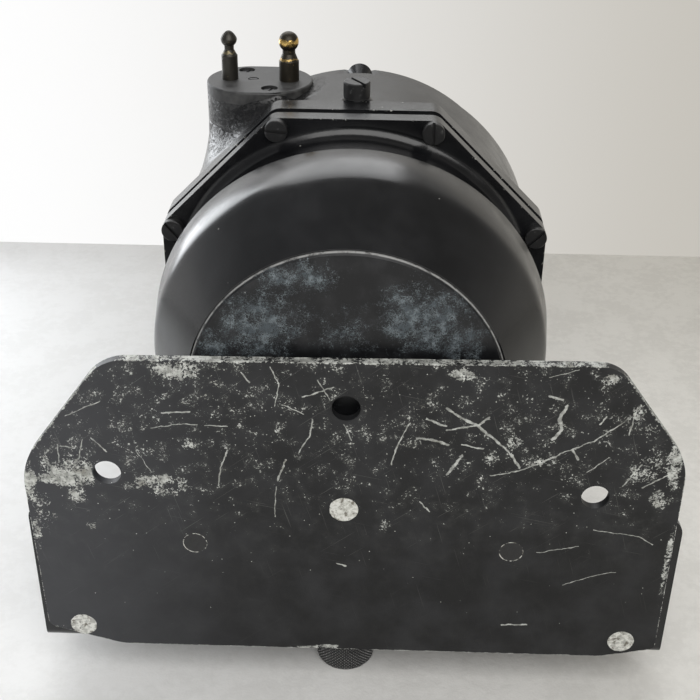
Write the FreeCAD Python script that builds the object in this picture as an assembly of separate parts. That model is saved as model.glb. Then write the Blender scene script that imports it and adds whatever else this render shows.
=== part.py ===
"""Magnetic compass of an aircraft, with its mounting bracket.

A round liquid-filled bowl is closed at the back by an octagonal cover, a cap and an expansion
capsule, and at the front by a domed window. The card floats on a pivot inside. A box below the bowl
holds two pairs of corrector magnets, geared to two spindles. A foot under the box is held to a shelf
bracket by three knurled screws, and the shelf is riveted to the mounting plate.

Frame, in millimetres: the drum's axis lies along Y, the window faces -Y and +Z is up. The origin is
where that axis meets the back face of the mounting plate, at the centre of its upper hole.
"""
import FreeCAD, Part
import math
import os

V = FreeCAD.Vector

# Fits, as clearance on the radius or between faces
running_fit = 0.05
screw_clearance = 0.12
seat_gap = 0.05

# Octagonal joint between bowl and cover
octagon_corner = 42.0
octagon_rounding = 3.0
cover_flange = 3.4
gasket_thickness = 2.2
gasket_inset = 0.8
bowl_flange = 5.0
cover_face_y = -42.0
cover_screw_circle = 39.6
cover_screw_radius = 1.25
cover_screw_head_radius = 2.2
cover_screw_head = 1.7
cover_screw_length = 9.0
cover_screw_slots = (50.0, 5.0, 90.0, 135.0, 20.0, 110.0, 65.0, 160.0)

# Bowl
bowl_radius = 38.5
bowl_bore = 35.0
bowl_length = 20.7
bowl_edge = 1.2
nose_radius = 35.5
nose_length = 4.7
window_opening = 30.0
front_wall = 3.0

# Cover neck and rear cap
neck_radius = 35.3
neck_bore = 32.3
neck_length = 22.0
neck_fillet = 2.2
neck_end_wall = 3.0
neck_port = 4.0
cap_radius = 38.5
cap_skirt = 10.1
cap_gap = 14.4
cap_wall = 3.0
cap_shoulder_radius = 37.8
cap_shoulder = 1.5
cap_dome_height = 11.4
cap_dome_bulge = 0.6
disc_radius = 28.9
disc_recess = 1.6
disc_stand = 0.85
disc_bevel = 0.5
disc_lip = 3.0

# Expansion capsule behind the cover's end wall
capsule_foot_radius = 12.0
capsule_foot = 1.5
capsule_radius = 17.0
capsule_waist = 10.0
capsule_wall = 0.5
capsule_folds = 3
capsule_pitch = 2.4
capsule_end = 1.0

# Window, bezel and mask
bezel_radius = 36.0
bezel_length = 6.5
bezel_opening = 29.6
bezel_lip = 1.8
bezel_chamfer = 1.4
bezel_screw_circle = 33.9
bezel_screw_radius = 0.8
bezel_screw_head_radius = 1.5
bezel_screw_head = 0.9
bezel_screw_length = 8.5
bezel_screws = 6
lug_width = 5.6
lug_top = 38.0
lug_length = 4.0
glass_radius = 32.0
glass_thickness = 2.6
glass_crown = 4.4
gasket_inner = 30.4
mask_opening = 25.0
mask_radius = 33.0
mask_thickness = 0.8
lubber_radius = 0.25
lubber_reach = 27.5

# Filler plug on top of the bowl
filler_y = -54.9
filler_neck_radius = 3.3
filler_neck_top = 39.5
filler_thread = 1.5
filler_head_radius = 2.7
filler_head = 2.2
filler_slot_angle = 124.0
filler_washer = 0.6
filler_depth = 6.0

# Lamp connector on its boss
boss_x = 20.8
boss_y = -68.05
boss_length = 22.4
boss_width = 18.5
boss_foot_flare = 0.6
boss_bottom = 14.0
connector_top = 38.1
connector_thickness = 2.6
connector_edge = 0.5
large_pin_x = 14.6
large_pin_radius = 2.1
large_pin_neck = 1.35
small_pin_x = 27.1
small_pin_radius = 1.7
small_pin_neck = 1.0
pin_height = 10.2
pin_tail = 1.6
pin_flange = 0.7
connector_screw_places = ((24.2, -74.2), (18.3, -62.1))
connector_screw_radius = 1.0
connector_screw_head_radius = 1.7
connector_screw_sink = 1.5
center_screw_place = (22.2, -68.1)
center_screw_head_radius = 1.1
lamp_pocket_radius = 4.0
lamp_pocket_depth = 8.2
lamp_socket_bore = 2.9
lamp_base_radius = 2.8
lamp_base = 3.0
lamp_glass_length = 3.2
lamp_glass_radius = 2.3
lamp_window_radius = 1.8
lamp_window_thickness = 2.0

# Card and pivot
pivot_y = -52.0
pivot_z = 4.0
pivot_ball_radius = 0.6
jewel_dish_radius = 1.0
jewel_rod_radius = 1.45
jewel_rim = 0.2
jewel_rod_end = -12.0
pin_radius = 1.0
pin_shoulder_radius = 1.9
pin_shoulder = 0.5
pin_top = 9.6
card_radius = 20.5
card_wall = 0.6
card_height = 14.0
card_web = 0.6
float_radius = 12.5
float_top = 10.0
float_bottom = 1.0
float_throat = 5.5
holder_radius = 11.5
holder_thickness = 1.2
card_magnet_side = 2.4
card_magnet_length = 18.0
card_magnet_offset = 7.4
stem_radius = 2.5
stem_top = -9.0
stem_bore_depth = 7.0
stem_flange_radius = 4.0
stem_flange = 1.4
stem_boss_radius = 4.2
stem_boss_top = -31.0
stem_spigot = 3.0
stem_spigot_radius = 2.0
spring_wire = 0.4
spring_width = 0.5
spring_turns = 4

# Corrector box, its spindles, wheels and magnets
box_half_width = 22.0
box_side_wall = 3.6
box_front_y = -78.0
box_back_y = -46.0
box_end_wall = 1.8
box_roof = 1.4
box_top = -40.0
box_bottom = -53.6
pad_rear_y = -53.2
unit_offset = 9.5
unit_y = -62.5
pinion_teeth = 8
wheel_teeth = 24
gear_module = 0.45
tooth_addendum = 0.4
tooth_dedendum = 0.55
pinion_root_half = 0.33
pinion_tip_half = 0.14
wheel_root_half = 0.30
wheel_tip_half = 0.16
wheel_face = 1.8
pinion_face = 1.4
wheel_plate = 1.4
wheel_groove = 0.7
wheel_hub_radius = 1.75
wheel_boss_radius = 2.6
axle_radius = 1.0
magnet_width = 1.5
magnet_height = 1.9
magnet_length = 9.6
magnet_offset = 2.65
spindle_radius = 1.0
spindle_collar_radius = 1.8
spindle_collar = 0.7
spindle_head_radius = 2.6
spindle_head = 2.2
box_screw_x = 20.1
box_screw_ys = (-56.5, -69.5)
box_screw_radius = 1.0
box_screw_head_radius = 2.0
box_screw_head = 1.6
box_screw_reach = 4.0

# Foot, shelf and knurled screws
foot_thickness = 4.0
foot_tongue = 9.5
foot_tongue_front = -20.0
foot_half_width = 32.0
foot_shoulder_y = -48.0
foot_corner_y = -70.0
foot_front_half = 25.0
foot_front_y = -76.5
shelf_thickness = 1.6
shelf_front_half = 35.0
shelf_front_y = -74.0
shelf_side_y = -16.0
shelf_shoulder_y = -48.0
knob_places = {"rear": (0.0, -10.5), "front_left": (24.0, -62.0), "front_right": (-24.0, -62.0)}
knob_radius = 6.2
knob_bottom = -69.1
knob_head = 8.0
knob_chamfer = 0.6
knob_collar_radius = 4.2
knob_thread_radius = 2.0
knob_thread_reach = 3.4

# Mounting plate, the shelf's upright leg, and their rivets
plate_thickness = 1.7
leg_thickness = 1.5
leg_left = 61.0
leg_right = -64.1
leg_top = -24.0
leg_corner = 4.0
tab_half_width = 12.0
tab_top = -16.0
bend_radius = 2.4
plate_outline = (
    (43.2, 9.0, 9.0), (60.2, -14.0, 16.0), (59.6, -54.0, 2.0), (45.0, -58.4, 12.0),
    (-52.0, -58.2, 12.0), (-62.3, -55.8, 1.6), (-62.2, -10.2, 14.0), (-47.4, 10.0, 7.0),
)
mount_hole_radius = 2.6
mount_holes = ((44.3, -15.5), (-46.3, -18.3), (0.0, 0.0))
center_rivet_place = (0.3, -22.7)
center_rivet_radius = 3.0
side_rivet_places = ((28.8, -31.7), (-31.8, -31.8))
side_rivet_radius = 2.6
corner_rivet_places = ((52.6, -53.6), (-55.4, -54.1))
corner_rivet_radius = 2.9
rivet_chamfer = 0.25
rivet_shank = 0.6

# Places worked out from the sizes above
gasket_face_y = cover_face_y - cover_flange
bowl_face_y = gasket_face_y - gasket_thickness
bowl_back_y = bowl_face_y - bowl_flange
shoulder_y = bowl_back_y - bowl_length
nose_y = shoulder_y - nose_length
front_wall_y = nose_y + front_wall
bezel_y = nose_y - bezel_length
neck_end_y = cover_face_y + neck_length
cap_lip_y = cover_face_y + cap_gap
cap_shoulder_y = cap_lip_y + cap_skirt + cap_shoulder
cap_top_y = cap_shoulder_y + cap_dome_height
disc_back_y = cap_top_y - disc_recess
disc_face_y = cap_top_y + disc_stand
foot_top = box_bottom
foot_bottom = foot_top - foot_thickness
shelf_bottom = foot_bottom - shelf_thickness
leg_front_y = -plate_thickness - leg_thickness
cover_screw_angles = [22.5 + 45.0 * i for i in range(8)]
connector_seat = connector_top - connector_thickness
pitch_wheel = gear_module * wheel_teeth / 2
pitch_pinion = gear_module * pinion_teeth / 2
unit_z = (box_top - box_roof + box_bottom) / 2


def box(x_from, x_to, y_from, y_to, z_from, z_to):
    """Block between two corners."""
    return Part.makeBox(x_to - x_from, y_to - y_from, z_to - z_from, V(x_from, y_from, z_from))


def drum(radius, y_from, y_to):
    """Cylinder on the drum's axis."""
    return Part.makeCylinder(radius, y_to - y_from, V(0, y_from, 0), V(0, 1, 0))


def post(radius, x, y, z_from, z_to):
    """Upright cylinder."""
    return Part.makeCylinder(radius, z_to - z_from, V(x, y, z_from))


def along_y(radius, x, z, y_from, y_to):
    """Cylinder parallel to the drum's axis."""
    return Part.makeCylinder(radius, y_to - y_from, V(x, y_from, z), V(0, 1, 0))


def outline(corners, place):
    """Face of a closed outline with rounded corners (a, b, radius), put in space by place(a, b)."""
    flat = [V(a, b, 0) for a, b, _ in corners]
    edges = []
    ends = []
    for i, (_, _, radius) in enumerate(corners):
        into = (flat[i] - flat[i - 1]).normalize()
        out = (flat[(i + 1) % len(flat)] - flat[i]).normalize()
        turn = into.getAngle(out)
        trim = radius * math.tan(turn / 2)
        start = flat[i] - into * trim
        end = flat[i] + out * trim
        ends.append((start, end))
        if radius > 0:
            inward = (out - into).normalize()
            middle = flat[i] + inward * (radius / math.cos(turn / 2) - radius)
            edges.append([start, middle, end])
    spaced = []
    for i, (start, end) in enumerate(ends):
        before = ends[i - 1][1]
        if (start - before).Length > 1e-6:
            spaced.append(Part.LineSegment(place(before.x, before.y), place(start.x, start.y)).toShape())
        if corners[i][2] > 0:
            arc = [place(p.x, p.y) for p in edges.pop(0)]
            spaced.append(Part.Arc(*arc).toShape())
    return Part.Face(Part.Wire(Part.__sortEdges__(spaced)))


def turned(points, center, axis):
    """Solid turned from an outline of (radius, height) points about an axis through center.

    A point may be a pair of pairs: an arc's middle and its end."""
    side = V(1, 0, 0)

    def place(radius, height):
        return center + side * radius + axis * height

    edges = []
    last = points[-1][1] if isinstance(points[-1][0], tuple) else points[-1]
    for point in points:
        if isinstance(point[0], tuple):
            middle, end = point
            edges.append(Part.Arc(place(*last), place(*middle), place(*end)).toShape())
            last = end
        else:
            edges.append(Part.LineSegment(place(*last), place(*point)).toShape())
            last = point
    face = Part.Face(Part.Wire(edges))
    return face.revolve(center, axis, 360)


def turned_y(points):
    """Solid turned about the drum's axis, its heights measured along Y."""
    return turned(points, V(0, 0, 0), V(0, 1, 0))


def octagon(corner, y_from, y_to):
    """Eight-sided slab with rounded corners, flat at the top."""
    corners = []
    for angle in cover_screw_angles:
        a = math.radians(angle)
        corners.append((corner * math.cos(a), corner * math.sin(a), octagon_rounding))
    face = outline(corners, lambda x, z: V(x, y_from, z))
    return face.extrude(V(0, y_to - y_from, 0))


def slotted_screw(head_radius, head, radius, length, slot_angle, chamfer=0.15):
    """Cheese-head screw with its axis on Z, its seat at zero and its head above."""
    cap = Part.makeCylinder(head_radius, head)
    cap = cap.makeChamfer(chamfer, [e for e in cap.Edges if e.CenterOfMass.z > head - 0.01])
    half = head_radius * 0.13
    slot = box(-head_radius, head_radius, -half, half, head * 0.6, head)
    slot.rotate(V(0, 0, 0), V(0, 0, 1), slot_angle)
    shank = Part.makeCylinder(radius, length, V(0, 0, -length))
    return cap.cut(slot).fuse(shank).removeSplitter()


def laid(shape, place, direction):
    """Copy of a shape built on Z, moved to a place and turned to a direction."""
    copy = shape.copy()
    copy.Placement = FreeCAD.Placement(place, FreeCAD.Rotation(V(0, 0, 1), direction))
    return copy


def on_circle(radius, angle, y):
    """Point on a circle round the drum's axis."""
    a = math.radians(angle)
    return V(radius * math.cos(a), y, radius * math.sin(a))


def save(name, shape):
    """Writes one node."""
    shape.exportStep("parts/" + name + ".step")


def mount_plate():
    """Flat plate with cut corners, three mounting holes and countersunk rivet holes."""
    plate = outline(plate_outline, lambda x, z: V(x, -plate_thickness, z)).extrude(V(0, plate_thickness, 0))
    for x, z in mount_holes:
        plate = plate.cut(along_y(mount_hole_radius, x, z, -plate_thickness, 0))
    for rivet in all_rivets():
        plate = plate.cut(rivet)
    return plate


def rivet(place, radius):
    """Countersunk rivet, flush at both ends, with a shallow groove round its head."""
    neck = radius * rivet_shank
    head = turned(
        [(0, leg_front_y), (radius - 0.4, leg_front_y), (neck, leg_front_y + 0.8), (neck, -plate_thickness),
         (radius, -rivet_chamfer - 0.2), (radius, -rivet_chamfer), (radius - rivet_chamfer, 0), (0, 0)],
        V(place[0], 0, place[1]), V(0, 1, 0))
    return head


def rivet_group(places, radius):
    """Rivets of one size."""
    return [rivet(place, radius) for place in places]


def all_rivets():
    """Every rivet of the plate."""
    return (rivet_group([center_rivet_place], center_rivet_radius)
            + rivet_group(side_rivet_places, side_rivet_radius)
            + rivet_group(corner_rivet_places, corner_rivet_radius))


def shelf_bracket():
    """Sheet bent to an L: an upright leg behind the plate and a shelf that reaches forward."""
    leg = outline(
        ((leg_left, leg_top, leg_corner), (leg_left, shelf_bottom, 0), (leg_right, shelf_bottom, 0),
         (leg_right, leg_top, leg_corner), (-tab_half_width, leg_top, 0), (-tab_half_width, tab_top, leg_corner),
         (tab_half_width, tab_top, leg_corner), (tab_half_width, leg_top, 0)),
        lambda x, z: V(x, leg_front_y, z)).extrude(V(0, leg_thickness, 0))
    shelf = outline(
        ((leg_left, -plate_thickness, 0), (leg_left, shelf_side_y, 8.0),
         (shelf_front_half, shelf_shoulder_y, 8.0), (shelf_front_half, shelf_front_y, 5.0),
         (-shelf_front_half, shelf_front_y, 5.0), (-shelf_front_half, shelf_shoulder_y, 8.0),
         (leg_right, shelf_side_y, 8.0), (leg_right, -plate_thickness, 0)),
        lambda x, y: V(x, y, shelf_bottom)).extrude(V(0, 0, shelf_thickness))
    sheet = leg.fuse(shelf).removeSplitter()
    inner = []
    outer = []
    for edge in sheet.Edges:
        center = edge.CenterOfMass
        if edge.Length < 100 or abs(center.x) > 10:
            continue
        if abs(center.z - foot_bottom) < 0.01 and abs(center.y - leg_front_y) < 0.01:
            inner.append(edge)
        if abs(center.z - shelf_bottom) < 0.01 and abs(center.y + plate_thickness) < 0.01:
            outer.append(edge)
    sheet = sheet.makeFillet(bend_radius - leg_thickness, inner)
    outer = [e for e in sheet.Edges if e.Length > 100 and abs(e.CenterOfMass.z - shelf_bottom) < 0.01
             and abs(e.CenterOfMass.y + plate_thickness) < 0.01]
    sheet = sheet.makeFillet(bend_radius, outer)
    for x, y in knob_places.values():
        sheet = sheet.cut(post(knob_thread_radius + screw_clearance, x, y, shelf_bottom, foot_bottom))
    for piece in all_rivets():
        sheet = sheet.cut(piece)
    return sheet


def base_foot():
    """Foot under the corrector box, threaded for the three knurled screws."""
    back_y = leg_front_y - bend_radius + leg_thickness - seat_gap
    foot = outline(
        ((foot_tongue, back_y, 3.0), (foot_tongue, foot_tongue_front, 8.0),
         (foot_half_width, foot_shoulder_y, 8.0), (foot_half_width, foot_corner_y, 6.0),
         (foot_front_half, foot_front_y, 3.0), (-foot_front_half, foot_front_y, 3.0),
         (-foot_half_width, foot_corner_y, 6.0), (-foot_half_width, foot_shoulder_y, 8.0),
         (-foot_tongue, foot_tongue_front, 8.0), (-foot_tongue, back_y, 3.0)),
        lambda x, y: V(x, y, foot_bottom)).extrude(V(0, 0, foot_thickness))
    rim = [e for e in foot.Edges if abs(e.CenterOfMass.z - foot_top) < 0.01]
    foot = foot.makeChamfer(0.5, rim)
    for x, y in knob_places.values():
        foot = foot.cut(post(knob_thread_radius + running_fit, x, y, foot_bottom, foot_top))
    for x, y in box_screw_spots():
        foot = foot.cut(post(box_screw_radius + screw_clearance, x, y, foot_bottom, foot_top))
        sink = foot_bottom + box_screw_head + 2 * seat_gap
        foot = foot.cut(post(box_screw_head_radius + screw_clearance, x, y, foot_bottom, sink))
    for x in (-unit_offset, unit_offset):
        foot = foot.cut(post(axle_radius, x, unit_y, foot_top - 1.5, foot_top))
    return foot


def knurled_screw(x, y):
    """Hand screw with a round head, a collar under the shelf and a thread in the foot."""
    head_top = knob_bottom + knob_head
    thread_top = foot_bottom + knob_thread_reach
    return turned(
        [(0, knob_bottom), (knob_radius - knob_chamfer, knob_bottom), (knob_radius, knob_bottom + knob_chamfer),
         (knob_radius, head_top - knob_chamfer), (knob_radius - knob_chamfer, head_top),
         (knob_collar_radius, head_top), (knob_collar_radius, shelf_bottom - seat_gap),
         (knob_thread_radius, shelf_bottom - seat_gap), (knob_thread_radius, thread_top - 0.4),
         (knob_thread_radius - 0.4, thread_top), (0, thread_top)],
        V(x, y, 0), V(0, 0, 1))


def box_screw_spots():
    """Places of the four screws that hold foot and box to the bowl."""
    return [(x, y) for x in (-box_screw_x, box_screw_x) for y in box_screw_ys]


def corrector_housing():
    """Box open below, with bores for the two spindles and the screws."""
    shell = box(-box_half_width, box_half_width, box_front_y, box_back_y, box_bottom, box_top)
    upright = [e for e in shell.Edges if abs(e.CenterOfMass.z - (box_top + box_bottom) / 2) < 0.01]
    shell = shell.makeFillet(2.5, upright)
    inner = box_half_width - box_side_wall
    shell = shell.cut(box(-inner, inner, box_front_y + box_end_wall, box_back_y - box_end_wall,
                          box_bottom, box_top - box_roof))
    shell = shell.cut(along_y(spindle_radius + running_fit, -unit_offset, unit_z, box_front_y,
                              box_front_y + box_end_wall))
    side_bore = Part.makeCylinder(spindle_radius + running_fit, box_side_wall, V(inner, unit_y, unit_z), V(1, 0, 0))
    shell = shell.cut(side_bore)
    for x, y in box_screw_spots():
        shell = shell.cut(post(box_screw_radius + screw_clearance, x, y, box_bottom, box_top))
    for x in (-unit_offset, unit_offset):
        shell = shell.cut(post(axle_radius, x, unit_y, box_top - box_roof, box_top - 0.5))
    return shell


def corrector_screws():
    """Long screws through foot and box into the bowl's pad."""
    seat = foot_bottom + box_screw_head + 2 * seat_gap
    length = box_top - seat + box_screw_reach
    screw = slotted_screw(box_screw_head_radius, box_screw_head, box_screw_radius, length, 30)
    return Part.Compound([laid(screw, V(x, y, seat), V(0, 0, -1)) for x, y in box_screw_spots()])


def corrector_axles():
    """Fixed pins on which the wheels turn."""
    pins = [post(axle_radius, x, unit_y, foot_top - 1.5, box_top - 0.5) for x in (-unit_offset, unit_offset)]
    return Part.Compound(pins)


def pinion(face):
    """Small gear on Z, from zero up to face, with a tooth on +X."""
    root = pitch_pinion - tooth_dedendum
    tip = pitch_pinion + tooth_addendum
    points = []
    for i in range(pinion_teeth):
        turn = FreeCAD.Rotation(V(0, 0, 1), 360.0 * i / pinion_teeth)
        for x, y in ((root, -pinion_root_half), (tip, -pinion_tip_half), (tip, pinion_tip_half),
                     (root, pinion_root_half)):
            points.append(turn.multVec(V(x, y, 0)))
    points.append(points[0])
    return Part.Face(Part.makePolygon(points)).extrude(V(0, 0, face))


def front_reach():
    """Length of the front spindle from under its head to its inner end."""
    mesh = unit_y - pitch_wheel
    return mesh + pinion_face / 2 - box_front_y + 2 * seat_gap


def side_reach():
    """The same length for the side spindle."""
    mesh = unit_offset + pitch_wheel
    return box_half_width + 2 * seat_gap - mesh + pinion_face / 2


def spindle(reach, wall):
    """Spindle built on Z: head above zero, a collar inside the wall and the pinion lowest."""
    piece = slotted_screw(spindle_head_radius, spindle_head, spindle_radius, reach, 25, 0.4)
    gear = pinion(pinion_face)
    gear.translate(V(0, 0, -reach))
    collar_top = -wall - 3 * seat_gap
    collar = Part.makeCylinder(spindle_collar_radius, spindle_collar, V(0, 0, collar_top - spindle_collar))
    return piece.fuse(gear).fuse(collar).removeSplitter()


def face_wheel(x, mesh_angle, up):
    """Wheel with teeth on its flat face, turned towards the spindle; up is 1 above it, -1 below it."""
    tip = pitch_pinion - tooth_addendum
    root = pitch_pinion + tooth_dedendum
    inner = pitch_wheel - wheel_face / 2
    outer = pitch_wheel + wheel_face / 2
    half_height = (box_top - box_roof - box_bottom) / 2
    wheel = Part.makeCylinder(outer, wheel_plate, V(0, 0, root))
    for i in range(wheel_teeth):
        tooth = Part.Face(Part.makePolygon([
            V(inner, -wheel_root_half, root), V(inner, -wheel_tip_half, tip), V(inner, wheel_tip_half, tip),
            V(inner, wheel_root_half, root), V(inner, -wheel_root_half, root)])).extrude(V(wheel_face - 0.1, 0, 0))
        tooth.rotate(V(0, 0, 0), V(0, 0, 1), mesh_angle + 360.0 * (i + 0.5) / wheel_teeth)
        wheel = wheel.fuse(tooth)
    wheel = wheel.fuse(Part.makeCylinder(wheel_boss_radius, root - running_fit, V(0, 0, running_fit)))
    wheel = wheel.fuse(Part.makeCylinder(wheel_hub_radius, half_height - root - running_fit, V(0, 0, root)))
    for y in (-magnet_offset, magnet_offset):
        groove = box(-outer, outer, y - magnet_width / 2, y + magnet_width / 2,
                     root + wheel_plate - wheel_groove, root + wheel_plate)
        wheel = wheel.cut(groove)
    wheel = wheel.cut(Part.makeCylinder(axle_radius + running_fit, 2 * half_height, V(0, 0, -half_height)))
    return set_unit(wheel.removeSplitter(), x, up)


def wheel_magnets(x, up):
    """Pair of bar magnets in the grooves of one wheel."""
    floor = pitch_pinion + tooth_dedendum + wheel_plate - wheel_groove
    bars = []
    for y in (-magnet_offset, magnet_offset):
        bar = box(-magnet_length / 2, magnet_length / 2, y - magnet_width / 2, y + magnet_width / 2,
                  floor, floor + magnet_height)
        bars.append(set_unit(bar, x, up))
    return Part.Compound(bars)


def set_unit(shape, x, up):
    """Puts a piece built above zero on a unit's axis, above or below the spindles."""
    if up < 0:
        shape = shape.mirror(V(0, 0, 0), V(0, 0, 1))
    shape.translate(V(x, unit_y, unit_z))
    return shape


def boss_outline(grow, z):
    """Round-ended outline of the connector boss."""
    half_length = boss_length / 2 + grow
    half_width = boss_width / 2 + grow
    straight = half_length - half_width
    left = V(boss_x + straight, boss_y, z)
    right = V(boss_x - straight, boss_y, z)
    side = V(0, half_width, 0)
    tip = V(half_width, 0, 0)
    return Part.Wire([
        Part.LineSegment(right - side, left - side).toShape(),
        Part.Arc(left - side, left + tip, left + side).toShape(),
        Part.LineSegment(left + side, right + side).toShape(),
        Part.Arc(right + side, right - tip, right - side).toShape()])


def bowl_body():
    """Bowl casting: flange, drum, nose, foot pad, filler neck and connector boss in one."""
    drum_shell = turned_y([
        (0, bowl_face_y), (bowl_radius, bowl_face_y), (bowl_radius, shoulder_y + bowl_edge),
        (bowl_radius - bowl_edge, shoulder_y), (nose_radius, shoulder_y), (nose_radius, nose_y), (0, nose_y)])
    body = drum_shell.fuse(octagon(octagon_corner, bowl_back_y, bowl_face_y))
    pad_half = box_half_width
    body = body.fuse(box(-pad_half, pad_half, shoulder_y + bowl_edge, pad_rear_y, box_top, -bowl_bore + 4))
    body = body.fuse(post(filler_neck_radius, 0, filler_y, bowl_bore, filler_neck_top))
    column = Part.makeLoft([boss_outline(boss_foot_flare, boss_bottom), boss_outline(0, connector_top - 8)], True)
    block = Part.Face(boss_outline(0, connector_top - 8)).extrude(V(0, 0, 8 - connector_thickness))
    body = body.fuse(column).fuse(block)
    bore = drum(bowl_bore, front_wall_y, bowl_face_y)
    body = body.cut(bore).cut(drum(window_opening, nose_y, front_wall_y))
    stem_boss = post(stem_boss_radius, 0, pivot_y, -bowl_bore - 1, stem_boss_top)
    body = body.fuse(stem_boss)
    body = body.cut(post(stem_spigot_radius, 0, pivot_y, stem_boss_top - stem_spigot, stem_boss_top))
    seat = Part.Face(boss_outline(seat_gap, connector_seat)).extrude(V(0, 0, 10))
    body = body.cut(seat)
    body = body.cut(post(lamp_pocket_radius, small_pin_x, boss_y, connector_seat - lamp_pocket_depth,
                         connector_seat))
    body = body.cut(post(lamp_window_radius, small_pin_x, boss_y, 15, connector_seat - lamp_pocket_depth))
    body = body.cut(post(large_pin_neck, large_pin_x, boss_y, connector_seat - pin_tail - seat_gap, connector_seat))
    for x, y in connector_screw_places:
        body = body.cut(post(connector_screw_radius, x, y, connector_seat - 3.2, connector_seat))
    x, y = center_screw_place
    body = body.cut(post(connector_screw_radius * 0.8, x, y, connector_seat - 2.4, connector_seat))
    body = body.cut(post(filler_thread, 0, filler_y, bowl_bore - 3, filler_neck_top))
    for angle in cover_screw_angles:
        hole = Part.makeCylinder(cover_screw_radius, bowl_flange, on_circle(cover_screw_circle, angle, bowl_back_y),
                                 V(0, 1, 0))
        body = body.cut(hole)
    for x, y in box_screw_spots():
        body = body.cut(post(box_screw_radius, x, y, box_top, box_top + box_screw_reach))
    for i in range(bezel_screws):
        place = on_circle(bezel_screw_circle, bezel_screw_angle(i), nose_y)
        depth = bezel_screw_length - bezel_length + bezel_screw_head
        body = body.cut(Part.makeCylinder(bezel_screw_radius, depth, place, V(0, 1, 0)))
    return body.removeSplitter()


def bezel_screw_angle(i):
    """Angle of a bezel screw, clear of the lug at the top."""
    return 360.0 * (i + 0.5) / bezel_screws + 60.0


def cover_gasket():
    """Flat gasket between bowl and cover, set back from their edges."""
    ring = octagon(octagon_corner - gasket_inset, bowl_face_y, gasket_face_y)
    ring = ring.cut(drum(bowl_bore, bowl_face_y, gasket_face_y))
    for angle in cover_screw_angles:
        place = on_circle(cover_screw_circle, angle, bowl_face_y)
        ring = ring.cut(Part.makeCylinder(cover_screw_radius + screw_clearance, gasket_thickness, place, V(0, 1, 0)))
    return ring


def rear_cover():
    """Octagonal cover with a threaded neck and an end wall for the capsule."""
    flange = octagon(octagon_corner, gasket_face_y, cover_face_y)
    root = neck_radius + neck_fillet
    corner = neck_fillet * (1 - math.sqrt(0.5))
    neck = turned_y([
        (0, gasket_face_y), (root, gasket_face_y), (root, cover_face_y),
        ((neck_radius + corner, cover_face_y + corner), (neck_radius, cover_face_y + neck_fillet)),
        (neck_radius, neck_end_y), (0, neck_end_y)])
    cover = flange.fuse(neck)
    cover = cover.cut(drum(neck_bore, gasket_face_y, neck_end_y - neck_end_wall))
    cover = cover.cut(drum(neck_port, neck_end_y - neck_end_wall, neck_end_y))
    for angle in cover_screw_angles:
        place = on_circle(cover_screw_circle, angle, gasket_face_y)
        cover = cover.cut(Part.makeCylinder(cover_screw_radius + screw_clearance, cover_flange, place, V(0, 1, 0)))
    return cover.removeSplitter()


def cover_screws():
    """Eight slotted screws at the octagon's corners."""
    screws = []
    for angle, slot in zip(cover_screw_angles, cover_screw_slots):
        screw = slotted_screw(cover_screw_head_radius, cover_screw_head, cover_screw_radius,
                              cover_screw_length, -slot)
        screws.append(laid(screw, on_circle(cover_screw_circle, angle, cover_face_y), V(0, 1, 0)))
    return Part.Compound(screws)


def rear_cap():
    """Domed cap screwed over the neck, with a seat for the end disc."""
    middle_r = (cap_shoulder_radius + disc_radius) / 2 + cap_dome_bulge
    middle_y = (cap_shoulder_y + cap_top_y) / 2 + cap_dome_bulge
    shoulder = cap_lip_y + cap_skirt
    rim = disc_radius + 0.3
    inner = neck_radius + seat_gap
    return turned_y([
        (inner, cap_lip_y), (cap_radius, cap_lip_y), (cap_radius, shoulder),
        ((cap_radius - 0.25, shoulder + cap_shoulder * 0.6), (cap_shoulder_radius, cap_shoulder_y)),
        ((middle_r, middle_y), (rim, cap_top_y)),
        (disc_radius + seat_gap, cap_top_y), (disc_radius + seat_gap, disc_back_y),
        (disc_radius - disc_lip, disc_back_y), (disc_radius - disc_lip, disc_back_y - 1.8),
        (cap_shoulder_radius - cap_wall - 2, cap_shoulder_y), (cap_shoulder_radius - cap_wall - 2, neck_end_y),
        (inner, neck_end_y)])


def rear_disc():
    """End disc of the cap, a little proud of it."""
    return turned_y([
        (0, disc_back_y), (disc_radius, disc_back_y), (disc_radius, disc_face_y - disc_bevel),
        (disc_radius - disc_bevel, disc_face_y), (0, disc_face_y)])


def capsule_parts():
    """Expansion capsule: a foot with a port, a folded wall and a free end."""
    foot_y = neck_end_y + capsule_foot
    foot = drum(capsule_foot_radius, neck_end_y, foot_y).cut(drum(neck_port, neck_end_y, foot_y))
    outer = [(capsule_waist, foot_y)]
    inner = [(capsule_waist - capsule_wall, foot_y)]
    for i in range(capsule_folds):
        y = foot_y + i * capsule_pitch
        outer += [(capsule_radius, y + capsule_pitch / 2), (capsule_waist, y + capsule_pitch)]
        inner += [(capsule_radius - 2 * capsule_wall, y + capsule_pitch / 2),
                  (capsule_waist - capsule_wall, y + capsule_pitch)]
    wall = turned_y(outer + inner[::-1])
    end_y = foot_y + capsule_folds * capsule_pitch
    end = drum(capsule_waist, end_y, end_y + capsule_end)
    return foot, wall, end


def filler_plug():
    """Slotted plug in the filler neck."""
    seat = filler_neck_top + filler_washer
    plug = slotted_screw(filler_head_radius, filler_head, filler_thread, filler_depth, filler_slot_angle, 0.2)
    return laid(plug, V(0, filler_y, seat), V(0, 0, 1))


def filler_washer_ring():
    """Sealing washer under the plug's head."""
    top = filler_neck_top + filler_washer
    ring = post(filler_head_radius + 0.3, 0, filler_y, filler_neck_top, top)
    return ring.cut(post(filler_thread + seat_gap, 0, filler_y, filler_neck_top, top))


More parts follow.
